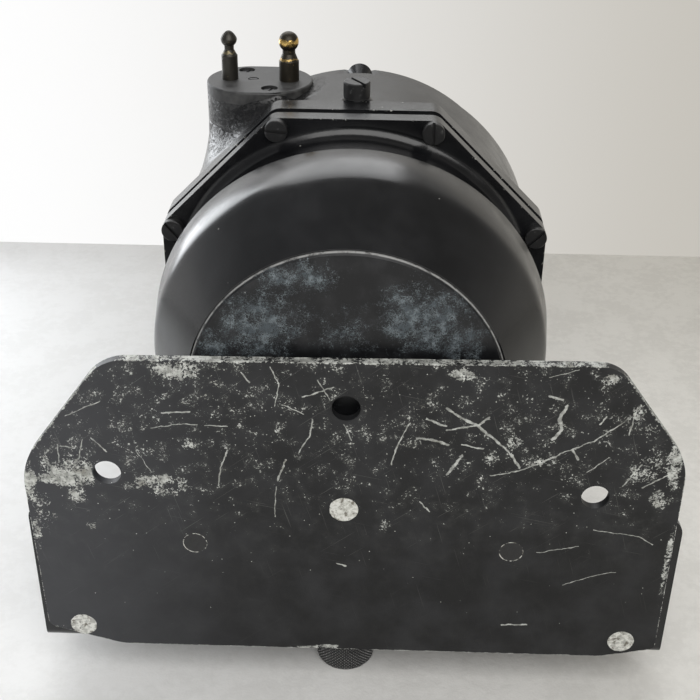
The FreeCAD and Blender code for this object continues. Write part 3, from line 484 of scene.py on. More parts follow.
@dataclass(frozen=True)
class PlateEnamel(Finish):
    """Black paint on the mounting plate, scratched and rubbed to the bare alloy."""

    colour: Colour = (0.0062, 0.0064, 0.0068)
    faded: Colour = (0.0175, 0.018, 0.0195)
    # Painted light: a lighter, bluer paint colour that stands for the window's light on the plate's +X side
    painted_window_light: Colour = (0.044, 0.0455, 0.050)
    bare: Colour = (0.27, 0.275, 0.255)
    bright: Colour = (0.54, 0.55, 0.52)
    stained: Colour = (0.16, 0.15, 0.12)
    sides: tuple[tuple[Spot, Spot], ...] = ()
    scratches: tuple[Scratch, ...] = ()
    patches: tuple[Patch, ...] = ()
    holes: tuple[tuple[Spot, float], ...] = ()
    scuff_runs: tuple[tuple[float, float, float], ...] = (
        (12.0, 16.0, 0.16), (-38.0, 11.0, 0.14), (74.0, 13.0, 0.15),
    )
    far_away: float = 9.0

    def edge_distance(self, graph: Graph) -> Socket:
        """Distance inwards from the plate's outline.

        Args:
            graph: graph of the finish.

        Returns:
            The distance to the nearest side, in millimetres.
        """
        gaps = []
        for start, end in self.sides:
            run = Vector((end[0] - start[0], end[1] - start[1])).normalized()
            inward = (run.y, 0.0, -run.x)
            level = run.y * start[0] - run.x * start[1]
            reach = graph.vector("DOT_PRODUCT", graph.place, inward)
            gaps.append(graph.math("SUBTRACT", reach, level))
        return graph.least(*gaps)

    def worn_share(self, graph: Graph) -> Socket:
        """How far the paint is rubbed away at each place.

        Args:
            graph: graph of the finish.

        Returns:
            The share, from 0 to 1.
        """
        upper = graph.fade(graph.z, -50.0, -8.0, 0.06, 0.46)
        wide = graph.fade(graph.z, -30.0, -8.0, 0.3, 0.75)
        edge = graph.fade(self.edge_distance(graph), wide, 0.0)
        total = graph.most(upper, graph.math("MULTIPLY", edge, 0.76))
        for patch in self.patches:
            total = graph.most(total, patch.share(graph, 1.35, 0.25))
        for center, radius in self.holes:
            ring = graph.radius(graph.x, graph.z, center)
            total = graph.both(total, graph.fade(ring, radius - 0.05, radius + 0.35))
        return total

    def scratch_share(self, graph: Graph) -> Socket:
        """Where scratches cut the paint, with ragged, broken borders.

        Args:
            graph: graph of the finish.

        Returns:
            Nearly 1 on a scratch and 0 elsewhere.
        """
        flat = graph.joined(graph.x, 0.0, graph.z)
        wobble = graph.noise(1.6, detail=2.0, shift=5.0, colour=True)
        sway = graph.vector("SUBTRACT", wobble, (0.5, 0.5, 0.5))
        flat = graph.vector("ADD", flat, graph.vector("SCALE", sway, scale=0.7))
        flat = graph.vector("MULTIPLY", flat, (1.0, 0.0, 1.0))
        closest = self.far_away
        for scratch in self.scratches:
            for start, end in zip(scratch.points, scratch.points[1:]):
                run = Vector((end[0] - start[0], 0.0, end[1] - start[1]))
                offset = graph.vector("SUBTRACT", flat, (start[0], 0.0, start[1]))
                passed = graph.vector("DOT_PRODUCT", offset, tuple(run))
                along = graph.math("DIVIDE", passed, run.length_squared, clamp=True)
                nearest = graph.vector("SCALE", tuple(run), scale=along)
                gap = graph.vector("DISTANCE", offset, nearest)
                closest = graph.math("MINIMUM", closest, graph.math("DIVIDE", gap, scratch.half_width))
        ragged = graph.math("MULTIPLY", graph.noise(0.8, detail=3.0, rough=0.7, shift=70.0), 2.6)
        return graph.fade(graph.math("ADD", closest, ragged), 2.45, 2.0, 0.0, 0.85)

    def scuffs(self, graph: Graph) -> Socket:
        """Faint straight scuffs, each run with its own lean, length and width.

        Args:
            graph: graph of the finish.

        Returns:
            1 on a scuff and 0 elsewhere.
        """
        lines = []
        for turn, (angle, length, width) in enumerate(self.scuff_runs):
            run = Vector((math.cos(math.radians(angle)), 0.0, math.sin(math.radians(angle))))
            side = Vector((-run.z, 0.0, run.x))
            along = graph.vector("DOT_PRODUCT", graph.place, tuple(run / length))
            across = graph.vector("DOT_PRODUCT", graph.place, tuple(side / width))
            streak = graph.noise(1.0, detail=1.0, place=graph.joined(along, across, 0.0), shift=11.0 * turn)
            lines.append(graph.fade(streak, 0.735, 0.79))
        return graph.most(*lines)

    def paint(self, graph: Graph) -> None:
        """Feeds the shader with paint, wear, chips, scratches and scuffs.

        Args:
            graph: graph of the finish.
        """
        worn = self.worn_share(graph)
        fine = graph.noise(0.46, detail=5.0, rough=0.70, twist=0.5)
        middle = graph.noise(2.4, detail=4.0, shift=23.0)
        mottle = graph.blend(fine, middle, 0.62)
        limit = graph.fade(worn, 0.0, 1.0, 0.695, 0.45)
        chips = graph.fade(graph.math("SUBTRACT", mottle, limit), -0.006, 0.012)
        dots = graph.specks(0.95, graph.fade(worn, 0.0, 1.0, 0.03, 0.6), reach=0.13)
        cuts = self.scratch_share(graph)
        bared = graph.most(chips, dots, cuts)
        scuffed = graph.both(self.scuffs(graph), graph.fade(worn, 0.0, 0.5, 0.05, 0.34))
        shade = graph.mix(graph.fade(graph.noise(9.0, detail=5.0), 0.35, 0.7), self.colour, self.faded)
        shade = graph.mix(graph.both(worn, 0.35), shade, self.faded)
        # Painted light: the paint grows lighter and bluer towards the window, from X 10 to 62 mm
        shade = graph.mix(graph.fade(graph.x, 10.0, 62.0, 0.0, 0.85), shade, self.painted_window_light)
        shine = graph.fade(graph.noise(1.3, detail=4.0, shift=3.0), 0.4, 0.62)
        stains = graph.fade(graph.noise(5.0, detail=4.0, shift=31.0), 0.58, 0.75, 0.0, 0.7)
        metal = graph.mix(stains, graph.mix(shine, self.bare, self.bright), self.stained)
        smudge = graph.both(graph.fade(middle, 0.46, 0.70), graph.fade(worn, 0.05, 0.8, 0.01, 0.10))
        shade = graph.mix(graph.most(scuffed, smudge), shade, self.bare)
        graph.colour(graph.mix(bared, shade, metal))
        gloss = graph.fade(graph.noise(6.0, detail=4.0, shift=14.0), 0.3, 0.7, 0.42, 0.55)
        graph.roughness(graph.most(gloss, graph.both(bared, 0.55)))
        graph.set(Specular_IOR_Level=0.34)
        grain = graph.noise(0.28, detail=2.0, shift=2.0)
        relief = graph.noise(0.75, detail=5.0, rough=0.68, twist=0.4)
        graph.dents((grain, 0.010), (relief, 0.02))


@dataclass(frozen=True)
class DiscEnamel(Finish):
    """Dark disc on the rear cap, clouded with blue-grey bloom, with a pale rim line that is partly rubbed
    paint and partly a painted highlight of its edge.
    """

    colour: Colour = (0.007, 0.0073, 0.0082)
    dull: Colour = (0.018, 0.0185, 0.020)
    bloom: Colour = (0.062, 0.075, 0.084)
    pale_bloom: Colour = (0.150, 0.176, 0.190)
    # Pale colour of the rim line and the dots; the rim line is partly wear and partly a painted highlight
    rubbed: Colour = (0.42, 0.42, 0.41)
    radius: float = 28.9
    clouds: tuple[Patch, ...] = (
        Patch((15.5, 14.0), (11.0, 9.0), 1.0), Patch((8.5, 24.0), (10.0, 4.5), 0.9),
        Patch((-13.0, 16.5), (11.0, 9.0), 1.0), Patch((-20.0, 12.0), (6.0, 7.0), 0.85),
        Patch((0.0, 13.0), (8.0, 8.0), 0.6), Patch((24.0, 10.0), (4.0, 6.0), 0.85),
    )

    def paint(self, graph: Graph) -> None:
        """Feeds the shader with the dark ground, the bloom, the dots and the rim.

        Args:
            graph: graph of the finish.
        """
        amount = graph.math("MULTIPLY", graph.noise(7.0, detail=4.0, shift=6.0), 0.35)
        for cloud in self.clouds:
            amount = graph.most(amount, cloud.share(graph, 1.5, 0.1))
        crystals = graph.noise(0.55, detail=6.0, rough=0.78, twist=2.6)
        patches = graph.noise(2.6, detail=5.0, rough=0.65, shift=17.0)
        mottle = graph.blend(crystals, patches, 0.66)
        limit = graph.fade(amount, 0.0, 1.0, 0.64, 0.485)
        bloomed = graph.fade(graph.math("SUBTRACT", mottle, limit), -0.03, 0.06)
        dulled = graph.fade(graph.noise(5.0, detail=5.0, shift=3.0), 0.4, 0.7)
        pale = graph.fade(graph.noise(1.4, detail=4.0, shift=71.0), 0.4, 0.62)
        tone = graph.mix(pale, self.bloom, self.pale_bloom)
        shade = graph.mix(bloomed, graph.mix(dulled, self.colour, self.dull), tone)
        away = graph.radius(graph.x, graph.z)
        # Pale rim line: partly rubbed paint, partly a painted highlight of the disc's raised edge
        rim = graph.fade(away, self.radius - 0.26, self.radius - 0.04, 0.0, 0.75)
        broken = graph.fade(graph.noise(1.2, detail=4.0, rough=0.7, shift=55.0), 0.34, 0.52, 0.25, 1.0)
        dots = graph.specks(2.2, 0.06, reach=0.08)
        shade = graph.mix(graph.most(graph.both(rim, broken), graph.both(dots, 0.7)), shade, self.rubbed)
        graph.colour(shade)
        graph.roughness(graph.fade(bloomed, 0.0, 1.0, 0.36, 0.55))
        graph.set(Specular_IOR_Level=0.32)
        graph.dents((graph.noise(0.3, detail=3.0), 0.01), (bloomed, 0.008))


@dataclass(frozen=True)
class RivetAlloy(Finish):
    """Rubbed alloy of flush rivets, with brown stains and a dark ring at the border, or under paint with a
    thin bare line that is a painted highlight.
    """

    centers: tuple[Spot, ...] = ()
    radius: float = 3.0
    bared: bool = True
    alloy: Colour = (0.50, 0.50, 0.455)
    bright: Colour = (0.72, 0.72, 0.68)
    stain: Colour = (0.115, 0.10, 0.075)
    black: Colour = (0.013, 0.013, 0.0135)

    def paint_share(self, graph: Graph, away: Socket) -> Socket:
        """Where black paint is left: in a ragged ring, or all over but for a thin bare line, which is a
        painted highlight along the rivet's edge.

        Args:
            graph: graph of the finish.
            away: distance from the nearest rivet's axis.

        Returns:
            1 on paint and 0 on bare alloy.
        """
        ring = graph.fade(away, self.radius - 0.42, self.radius - 0.12)
        grain = graph.noise(0.8, detail=4.0, shift=21.0)
        ragged = graph.math("ADD", graph.math("MULTIPLY", ring, 0.5), grain)
        if self.bared:
            return graph.fade(ragged, 0.68, 0.76)
        kept = graph.fade(graph.fade(ragged, 0.42, 0.36), 0.0, 1.0, 1.0, 0.2)
        # Painted highlight: a thin broken ring of bare alloy near the painted rivet's edge
        line = graph.both(graph.fade(away, self.radius - 0.5, self.radius - 0.3), kept)
        broken = graph.fade(graph.noise(0.7, detail=3.0, shift=4.0), 0.44, 0.56)
        return graph.math("SUBTRACT", 1.0, graph.both(line, broken))

    def paint(self, graph: Graph) -> None:
        """Feeds the shader with alloy, stains, leftover paint and the ring.

        Args:
            graph: graph of the finish.
        """
        away = graph.least(*[graph.radius(graph.x, graph.z, center) for center in self.centers])
        mottle = graph.noise(0.9, detail=5.0, rough=0.65, twist=0.5)
        stains = graph.fade(graph.noise(1.5, detail=5.0, rough=0.7, shift=8.0), 0.52, 0.62, 0.0, 0.85)
        alloy = graph.mix(graph.fade(mottle, 0.42, 0.58), self.alloy, self.bright)
        alloy = graph.mix(stains, alloy, self.stain)
        black = self.paint_share(graph, away)
        graph.colour(graph.mix(black, alloy, self.black))
        graph.metal(graph.fade(black, 0.0, 1.0, 0.35, 0.0))
        graph.roughness(graph.fade(mottle, 0.35, 0.65, 0.38, 0.55))
        graph.dents((mottle, 0.03), (graph.noise(0.25, detail=2.0, shift=5.0), 0.01))


@dataclass(frozen=True)
class BlackSteel(Finish):
    """Blackened steel of screws and plugs, grey where a driver or a finger has rubbed it."""

    colour: Colour = (0.012, 0.012, 0.0125)
    rubbed: Colour = (0.15, 0.15, 0.148)
    wear: float = 0.35
    rough: float = 0.4

    def paint(self, graph: Graph) -> None:
        """Feeds the shader with blackening and rubbed places.

        Args:
            graph: graph of the finish.
        """
        mottle = graph.noise(0.8, detail=5.0, rough=0.7)
        rubbed = graph.fade(mottle, 0.72 - 0.3 * self.wear, 0.82 - 0.3 * self.wear)
        graph.colour(graph.mix(rubbed, self.colour, self.rubbed))
        graph.metal(graph.fade(rubbed, 0.0, 1.0, 0.1, 0.6))
        graph.roughness(graph.fade(mottle, 0.3, 0.7, self.rough - 0.06, self.rough + 0.1))
        graph.dents((mottle, 0.012))


@dataclass(frozen=True)
class KnurledSteel(Finish):
    """Blackened steel of a hand screw, grey on the crests of its knurl."""

    center: Spot = (0.0, 0.0)
    crest: float = 6.2
    depth: float = 0.3
    colour: Colour = (0.022, 0.022, 0.0225)
    rubbed: Colour = (0.58, 0.58, 0.56)

    def paint(self, graph: Graph) -> None:
        """Feeds the shader with black grooves and worn crests.

        Args:
            graph: graph of the finish.
        """
        away = graph.radius(graph.x, graph.y, self.center)
        crest = graph.fade(away, self.crest - self.depth * 0.55, self.crest - self.depth * 0.05)
        mottle = graph.noise(1.1, detail=4.0, rough=0.65)
        worn = graph.both(crest, graph.fade(mottle, 0.36, 0.6, 0.35, 0.95))
        graph.colour(graph.mix(worn, self.colour, self.rubbed))
        graph.metal(graph.fade(worn, 0.0, 1.0, 0.1, 0.8))
        graph.roughness(graph.fade(mottle, 0.3, 0.7, 0.36, 0.5))
        graph.dents((mottle, 0.01))


@dataclass(frozen=True)
class Rubber(Finish):
    """Dull black rubber of a gasket."""

    colour: Colour = (0.010, 0.010, 0.0105)
    dusty: Colour = (0.03, 0.03, 0.029)

    def paint(self, graph: Graph) -> None:
        """Feeds the shader with a dull, slightly dusty black.

        Args:
            graph: graph of the finish.
        """
        mottle = graph.noise(0.6, detail=4.0)
        graph.colour(graph.mix(graph.fade(mottle, 0.5, 0.75), self.colour, self.dusty))
        graph.roughness(graph.fade(mottle, 0.3, 0.7, 0.7, 0.85))
        graph.dents((mottle, 0.02))


@dataclass(frozen=True)
class Insulator(Finish):
    """Moulded dark insulating block, dusty in places, with fine pits."""

    colour: Colour = (0.018, 0.018, 0.0185)
    dusty: Colour = (0.055, 0.055, 0.054)

    def paint(self, graph: Graph) -> None:
        """Feeds the shader with the moulding, its dust and its fine pits.

        Args:
            graph: graph of the finish.
        """
        mottle = graph.noise(2.2, detail=5.0, rough=0.6)
        pits = graph.specks(0.9, 0.25, reach=0.2)
        shade = graph.mix(graph.fade(mottle, 0.35, 0.7), self.colour, self.dusty)
        graph.colour(graph.mix(graph.both(pits, 0.5), shade, self.colour))
        graph.roughness(graph.fade(mottle, 0.3, 0.7, 0.42, 0.58))
        graph.dents((graph.noise(0.3, detail=3.0), 0.014), (graph.math("SUBTRACT", 1.0, pits), 0.01))


@dataclass(frozen=True)
class PatinatedPin(Finish):
    """Brass or bronze contact pin, dark with patina and bright where the plug slides over it."""

    metal: Colour = (0.62, 0.42, 0.14)
    patina: Colour = (0.035, 0.030, 0.022)
    bright_bands: tuple[tuple[float, float, float], ...] = ()

    def paint(self, graph: Graph) -> None:
        """Feeds the shader with patina and the bright bands.

        Args:
            graph: graph of the finish.
        """
        mottle = graph.noise(0.7, detail=5.0, rough=0.7, twist=0.3)
        bare = graph.fade(mottle, 0.62, 0.74, 0.0, 0.5)
        sway = graph.math("SUBTRACT", graph.noise(0.9, detail=3.0, shift=12.0), 0.5)
        height = graph.math("ADD", graph.z, graph.math("MULTIPLY", sway, 1.6))
        for middle, half, strength in self.bright_bands:
            gap = graph.gap_to(height, middle)
            bare = graph.most(bare, graph.fade(gap, half, half * 0.5, 0.0, strength))
        graph.colour(graph.mix(bare, self.patina, self.metal))
        graph.metal(graph.fade(bare, 0.0, 1.0, 0.75, 1.0))
        graph.roughness(graph.fade(bare, 0.0, 1.0, 0.42, 0.24))
        graph.dents((mottle, 0.02))


@dataclass(frozen=True)
class BareMetal(Finish):
    """Machined metal of an inner piece, with fine turning marks and light tarnish."""

    colour: Colour = (0.55, 0.55, 0.54)
    tarnish: Colour = (0.32, 0.31, 0.29)
    rough: float = 0.28

    def paint(self, graph: Graph) -> None:
        """Feeds the shader with metal, tarnish and turning marks.

        Args:
            graph: graph of the finish.
        """
        mottle = graph.noise(2.0, detail=5.0, rough=0.6)
        turned = graph.noise(0.2, detail=2.0, place=graph.joined(0.0, 0.0, graph.z))
        graph.colour(graph.mix(graph.fade(mottle, 0.4, 0.75), self.colour, self.tarnish))
        graph.metal(1.0)
        graph.roughness(graph.fade(mottle, 0.3, 0.7, self.rough - 0.05, self.rough + 0.12))
        graph.dents((turned, 0.006))


@dataclass(frozen=True)
class ClearGlass(Finish):
    """Clear glass with a faint film of dust."""

    tint: Colour = (0.97, 0.985, 0.975)
    filmed: Colour = (0.92, 0.93, 0.92)
    ior: float = 1.5

    def paint(self, graph: Graph) -> None:
        """Feeds the shader with clear glass whose polish varies a little.

        Args:
            graph: graph of the finish.
        """
        film = graph.noise(5.0, detail=5.0)
        graph.colour(graph.mix(graph.fade(film, 0.3, 0.8, 0.0, 0.6), self.tint, self.filmed))
        graph.roughness(graph.fade(film, 0.4, 0.8, 0.01, 0.05))
        graph.set(Transmission_Weight=1.0, IOR=self.ior)


@dataclass(frozen=True)
class FlatPaint(Finish):
    """Flat paint with fine grain, for the card, its marks and the mask."""

    colour: Colour = (0.012, 0.012, 0.012)
    aged: Colour = (0.02, 0.02, 0.019)
    rough: float = 0.6

    def paint(self, graph: Graph) -> None:
        """Feeds the shader with paint and its slow change of shade.

        Args:
            graph: graph of the finish.
        """
        mottle = graph.noise(3.0, detail=5.0)
        graph.colour(graph.mix(graph.fade(mottle, 0.35, 0.7), self.colour, self.aged))
        graph.roughness(graph.fade(mottle, 0.3, 0.7, self.rough - 0.05, self.rough + 0.08))
        graph.dents((graph.noise(0.2, detail=2.0), 0.006))


@dataclass(frozen=True)
class Gem(Finish):
    """Ruby-red bearing jewel."""

    colour: Colour = (0.55, 0.03, 0.06)
    cloudy: Colour = (0.35, 0.02, 0.04)

    def paint(self, graph: Graph) -> None:
        """Feeds the shader with a clear red stone, cloudier in places.

        Args:
            graph: graph of the finish.
        """
        cloud = graph.noise(0.6, detail=3.0)
        graph.colour(graph.mix(graph.fade(cloud, 0.4, 0.8), self.colour, self.cloudy))
        graph.roughness(graph.fade(cloud, 0.3, 0.7, 0.03, 0.08))
        graph.set(Transmission_Weight=0.7, IOR=1.76)


@dataclass(frozen=True)
class MottledGround(Finish):
    """Pale ground of the table or wall, with painted light that makes it brighter towards the window on the
    object's +X side.
    """

    # Painted light: lit and shaded copies of the ground colour and of its marks, mixed along X
    painted_lit_ground: Colour = (0.81, 0.815, 0.82)
    painted_shaded_ground: Colour = (0.70, 0.685, 0.645)
    painted_lit_marks: Colour = (0.66, 0.66, 0.65)
    painted_shaded_marks: Colour = (0.42, 0.405, 0.37)
    mottle: float = 0.05
    turns_at: tuple[float, float] = (140.0, -140.0)
    one_sided_glowing: bool = False

    def paint(self, graph: Graph) -> None:
        """Feeds the shader with the pale ground; a one-sided one glows with its colour, painted light
        included, and is clear from behind.

        Args:
            graph: graph of the finish.
        """
        # Painted light: share runs from the lit colours near the window to the shaded ones on the far side
        share = graph.fade(graph.x, *self.turns_at)
        ground = graph.mix(share, self.painted_lit_ground, self.painted_shaded_ground)
        spots = graph.noise(2.4, detail=6.0, rough=0.7)
        clouds = graph.noise(14.0, detail=4.0, shift=19.0)
        speck = graph.fade(graph.math("MULTIPLY", spots, clouds), 0.19, 0.33, 0.0, self.mottle * 4)
        shade = graph.mix(speck, ground, graph.mix(share, self.painted_lit_marks, self.painted_shaded_marks))
        graph.colour(shade)
        graph.roughness(0.7)
        graph.set(Specular_IOR_Level=0.2)
        graph.dents((spots, 0.15))
        if self.one_sided_glowing:
            self.glow_for_camera_and_reflections(graph, shade)

    def glow_for_camera_and_reflections(self, graph: Graph, shade: Socket) -> None:
        """Makes the wall glow with its own colour, painted light included, for camera and reflection rays,
        and shows nothing of it from behind.

        Args:
            graph: the wall's finish.
            shade: the wall's colour.
        """
        nodes = graph.tree.nodes
        ray = nodes.new("ShaderNodeLightPath")
        seen = graph.most(*[ray.outputs[f"Is {kind} Ray"] for kind in ("Camera", "Glossy", "Transmission")])
        # Painted light: the wall emits its own colour to camera, glossy and transmission rays, as if it were
        # a lamp
        glow = nodes.new("ShaderNodeEmission")
        graph.feed(glow.inputs["Color"], shade)
        lit = nodes.new("ShaderNodeMixShader")
        graph.feed(lit.inputs[0], seen)
        graph.feed(lit.inputs[1], graph.shader.outputs[0])
        graph.feed(lit.inputs[2], glow.outputs[0])
        side = nodes.new("ShaderNodeNewGeometry")
        clear = nodes.new("ShaderNodeBsdfTransparent")
        switch = nodes.new("ShaderNodeMixShader")
        graph.feed(switch.inputs[0], side.outputs["Backfacing"])
        graph.feed(switch.inputs[1], lit.outputs[0])
        graph.feed(switch.inputs[2], clear.outputs[0])
        output = next(n for n in nodes if n.type == "OUTPUT_MATERIAL")
        graph.feed(output.inputs["Surface"], switch.outputs[0])


# Places on the plate, as X and Z in millimetres: corners, scratches, rubbed areas, holes and rivets
PLATE_CORNERS: tuple[Spot, ...] = (
    (43.2, 9.0), (60.2, -14.0), (59.6, -54.0), (45.0, -58.4),
    (-52.0, -58.2), (-62.3, -55.8), (-62.2, -10.2), (-47.4, 10.0),
)

PLATE_SCRATCHES: tuple[Scratch, ...] = (
    Scratch(((35.3, -5.2), (29.5, -4.2), (26.8, -4.2))),
    Scratch(((25.5, -4.5), (21.4, -4.4)), 0.10),
    Scratch(((33.1, -1.9), (28.2, -1.6)), 0.15),
    Scratch(((21.6, -9.6), (23.2, -14.1), (23.6, -17.9)), 0.13),
    Scratch(((38.4, -10.6), (36.0, -15.1)), 0.08),
    Scratch(((13.4, 8.3), (11.9, 4.7), (12.8, 0.2)), 0.09),
    Scratch(((18.5, 7.0), (17.1, 5.0)), 0.14),
    Scratch(((5.1, 5.9), (2.9, 1.8)), 0.10),
    Scratch(((7.8, 2.1), (2.2, 4.4)), 0.13),
    Scratch(((11.4, 0.5), (7.6, -1.5)), 0.10),
    Scratch(((6.0, -2.5), (6.7, -6.4), (8.6, -9.7)), 0.12),
    Scratch(((0.4, -3.4), (-0.9, -6.8)), 0.10),
    Scratch(((11.0, -11.5), (12.6, -16.4)), 0.16),
    Scratch(((12.9, -17.8), (13.3, -24.7)), 0.10),
    Scratch(((52.4, -9.7), (49.7, -10.0)), 0.12),
    Scratch(((52.8, -9.4), (53.1, -13.4)), 0.12),
    Scratch(((46.5, -7.8), (44.0, -10.8)), 0.12),
    Scratch(((50.7, -3.1), (44.1, 0.3)), 0.08),
    Scratch(((48.1, -8.2), (49.3, -12.7)), 0.10),
    Scratch(((-18.0, 0.6), (-20.3, -1.2), (-23.3, -2.7), (-25.5, -4.8),
             (-28.3, -7.2), (-30.3, -9.4), (-31.7, -12.1)), 0.24),
    Scratch(((-25.4, -1.2), (-24.0, -2.8), (-18.2, -4.1)), 0.20),
    Scratch(((-14.5, -1.8), (-16.8, -2.9), (-17.9, -3.3)), 0.20),
    Scratch(((-11.5, -2.8), (-9.6, -7.0), (-8.3, -12.0)), 0.13),
    Scratch(((-12.9, -6.1), (-16.1, -6.5), (-18.6, -7.3)), 0.24),
    Scratch(((-21.1, -7.2), (-24.8, -8.0)), 0.17),
    Scratch(((-21.2, -9.7), (-18.7, -13.9)), 0.26),
    Scratch(((-26.7, -14.0), (-31.0, -13.0), (-35.4, -11.0), (-39.7, -8.2),
             (-44.4, -5.9), (-47.6, -3.1), (-49.6, -1.4)), 0.12),
    Scratch(((-39.1, 1.7), (-38.1, -1.2), (-38.7, -3.3), (-37.2, -5.6)), 0.30),
    Scratch(((-44.2, -12.6), (-47.7, -9.3)), 0.10),
    Scratch(((-51.0, -15.7), (-53.9, -10.6)), 0.14),
    Scratch(((-54.6, -15.9), (-59.2, -12.6), (-59.7, -9.8)), 0.14),
    Scratch(((-35.5, 7.6), (-40.5, 9.2)), 0.08),
    Scratch(((-51.5, 1.3), (-50.8, -4.1)), 0.14),
    Scratch(((-45.3, -2.1), (-46.2, -0.5)), 0.14),
    Scratch(((-35.8, 3.7), (-38.3, 3.0)), 0.20),
    Scratch(((-13.9, -20.4), (-15.7, -22.7)), 0.14),
    Scratch(((-41.0, -7.6), (-42.2, -9.8)), 0.20),
    Scratch(((-36.8, -31.8), (-44.5, -30.0)), 0.08),
    Scratch(((-42.3, -39.7), (-47.4, -37.4), (-52.1, -36.1)), 0.08),
    Scratch(((-31.4, -50.5), (-36.2, -50.3)), 0.18),
    Scratch(((-46.7, -26.0), (-55.7, -27.3), (-58.2, -29.2)), 0.09),
    Scratch(((1.5, -35.8), (-0.2, -36.4)), 0.16),
)

PLATE_PATCHES: tuple[Patch, ...] = (
    Patch((3.4, -57.7), (3.2, 0.7), 1.0), Patch((51.0, -15.0), (11.0, 5.5), 0.72),
    Patch((34.0, -18.5), (13.0, 3.2), 0.62), Patch((57.5, -24.0), (4.0, 9.0), 0.6),
    Patch((-55.0, -12.0), (6.0, 8.0), 0.6), Patch((-36.0, -9.0), (9.0, 6.0), 0.5),
    Patch((29.8, 7.2), (5.4, 3.0), 0.95), Patch((22.3, 4.9), (2.7, 3.1), 0.55),
    Patch((32.8, 1.7), (2.7, 2.1), 0.55), Patch((14.2, 3.9), (2.1, 2.1), 0.55),
    Patch((-20.2, 7.6), (3.2, 2.4), 0.85), Patch((-46.3, 7.3), (3.1, 1.8), 0.8),
    Patch((-52.0, 0.8), (2.3, 3.2), 0.75), Patch((-59.8, -10.3), (2.3, 9.0), 0.85),
    Patch((-54.7, -3.8), (2.7, 4.4), 0.6), Patch((-50.3, -18.5), (2.6, 3.0), 0.6),
    Patch((-58.2, -18.5), (3.7, 3.3), 0.7), Patch((51.4, -16.8), (9.0, 3.4), 0.9),
    Patch((33.6, -16.9), (8.4, 1.8), 0.75), Patch((59.0, -17.2), (1.9, 5.9), 0.95),
    Patch((50.4, -20.2), (2.8, 4.8), 0.7), Patch((48.6, -26.8), (1.6, 4.4), 0.6),
    Patch((59.0, -29.6), (1.3, 9.0), 0.65), Patch((2.9, -16.3), (3.7, 1.8), 0.5),
    Patch((12.2, -15.3), (4.7, 5.9), 0.45), Patch((-7.7, -26.1), (1.9, 2.4), 0.5),
    Patch((-30.5, -6.3), (2.3, 2.6), 0.7), Patch((-34.5, -7.3), (1.4, 1.8), 0.65),
    Patch((-35.7, -10.6), (1.4, 1.8), 0.7), Patch((28.5, -9.0), (2.2, 1.6), 0.75),
    Patch((-25.8, -10.7), (1.5, 1.8), 0.7), Patch((6.9, -58.2), (3.7, 0.7), 0.9),
    Patch((57.4, -54.4), (1.6, 1.1), 0.6), Patch((-61.6, -32.8), (0.9, 12.6), 0.75),
)

HOLE_RINGS: tuple[tuple[Spot, float], ...] = (((44.3, -15.5), 2.6), ((-46.3, -18.3), 2.6), ((0.0, 0.0), 2.6))
CENTER_RIVET: Spot = (0.3, -22.7)
SIDE_RIVETS: tuple[Spot, ...] = ((28.8, -31.7), (-31.8, -31.8))
CORNER_RIVETS: tuple[Spot, ...] = ((52.6, -53.6), (-55.4, -54.1))

# Axes of the hand screws, as X and Y in millimetres
HAND_SCREWS: dict[str, Spot] = {
    "rear": (0.0, -10.5), "front_left": (24.0, -62.0), "front_right": (-24.0, -62.0),
}


def outline_sides(corners: Sequence[Spot]) -> tuple[tuple[Spot, Spot], ...]:
    """Pairs of neighbouring corners round a closed outline."""
    return tuple((corner, corners[(i + 1) % len(corners)]) for i, corner in enumerate(corners))


def dress(finish: Finish, *nodes: str) -> None:
    """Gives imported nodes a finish.

    Args:
        finish: the finish.
        nodes: names of the nodes.
    """
    for name in nodes:
        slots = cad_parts[name].data.materials
        slots.clear()
        slots.append(finish.material())
        log.info("%s: %s", name, finish.name)


def in_scene(name: str, data: bpy.types.ID) -> bpy.types.Object:
    """Makes an object of a mesh, a curve, a lamp or a camera, and links it to the scene.

    Args:
        name: name of the object.
        data: what it shows or is.

    Returns:
        The object.
    """
    made = bpy.data.objects.new(name, data)
    bpy.context.scene.collection.objects.link(made)
    return made


def mesh_piece(name: str, points: Sequence[Sequence[float]], faces: Sequence[Sequence[int]],
               smooth: bool) -> bpy.types.Object:
    """Makes a mesh piece from points in millimetres of the object's frame.

    Args:
        name: name of the piece.
        points: its points.
        faces: point numbers of each face, counter-clockwise seen from outside.
        smooth: shades its faces smoothly.

    Returns:
        The piece, in the scene.
    """
    mesh = bpy.data.meshes.new(name)
    mesh.from_pydata([Vector(p) * MM for p in points], [], faces)
    mesh.polygons.foreach_set("use_smooth", [smooth] * len(mesh.polygons))
    mesh.update()
    return in_scene(name, mesh)


def face_outwards(piece: bpy.types.Object, sharp: float) -> None:
    """Turns a closed piece's faces outwards and keeps its edges sharp.

    Args:
        piece: the piece.
        sharp: angle from which on an edge is sharp, in degrees.
    """
    shell = bmesh.new()
    shell.from_mesh(piece.data)
    bmesh.ops.recalc_face_normals(shell, faces=shell.faces)
    shell.to_mesh(piece.data)
    shell.free()
    piece.data.set_sharp_from_angle(angle=math.radians(sharp))


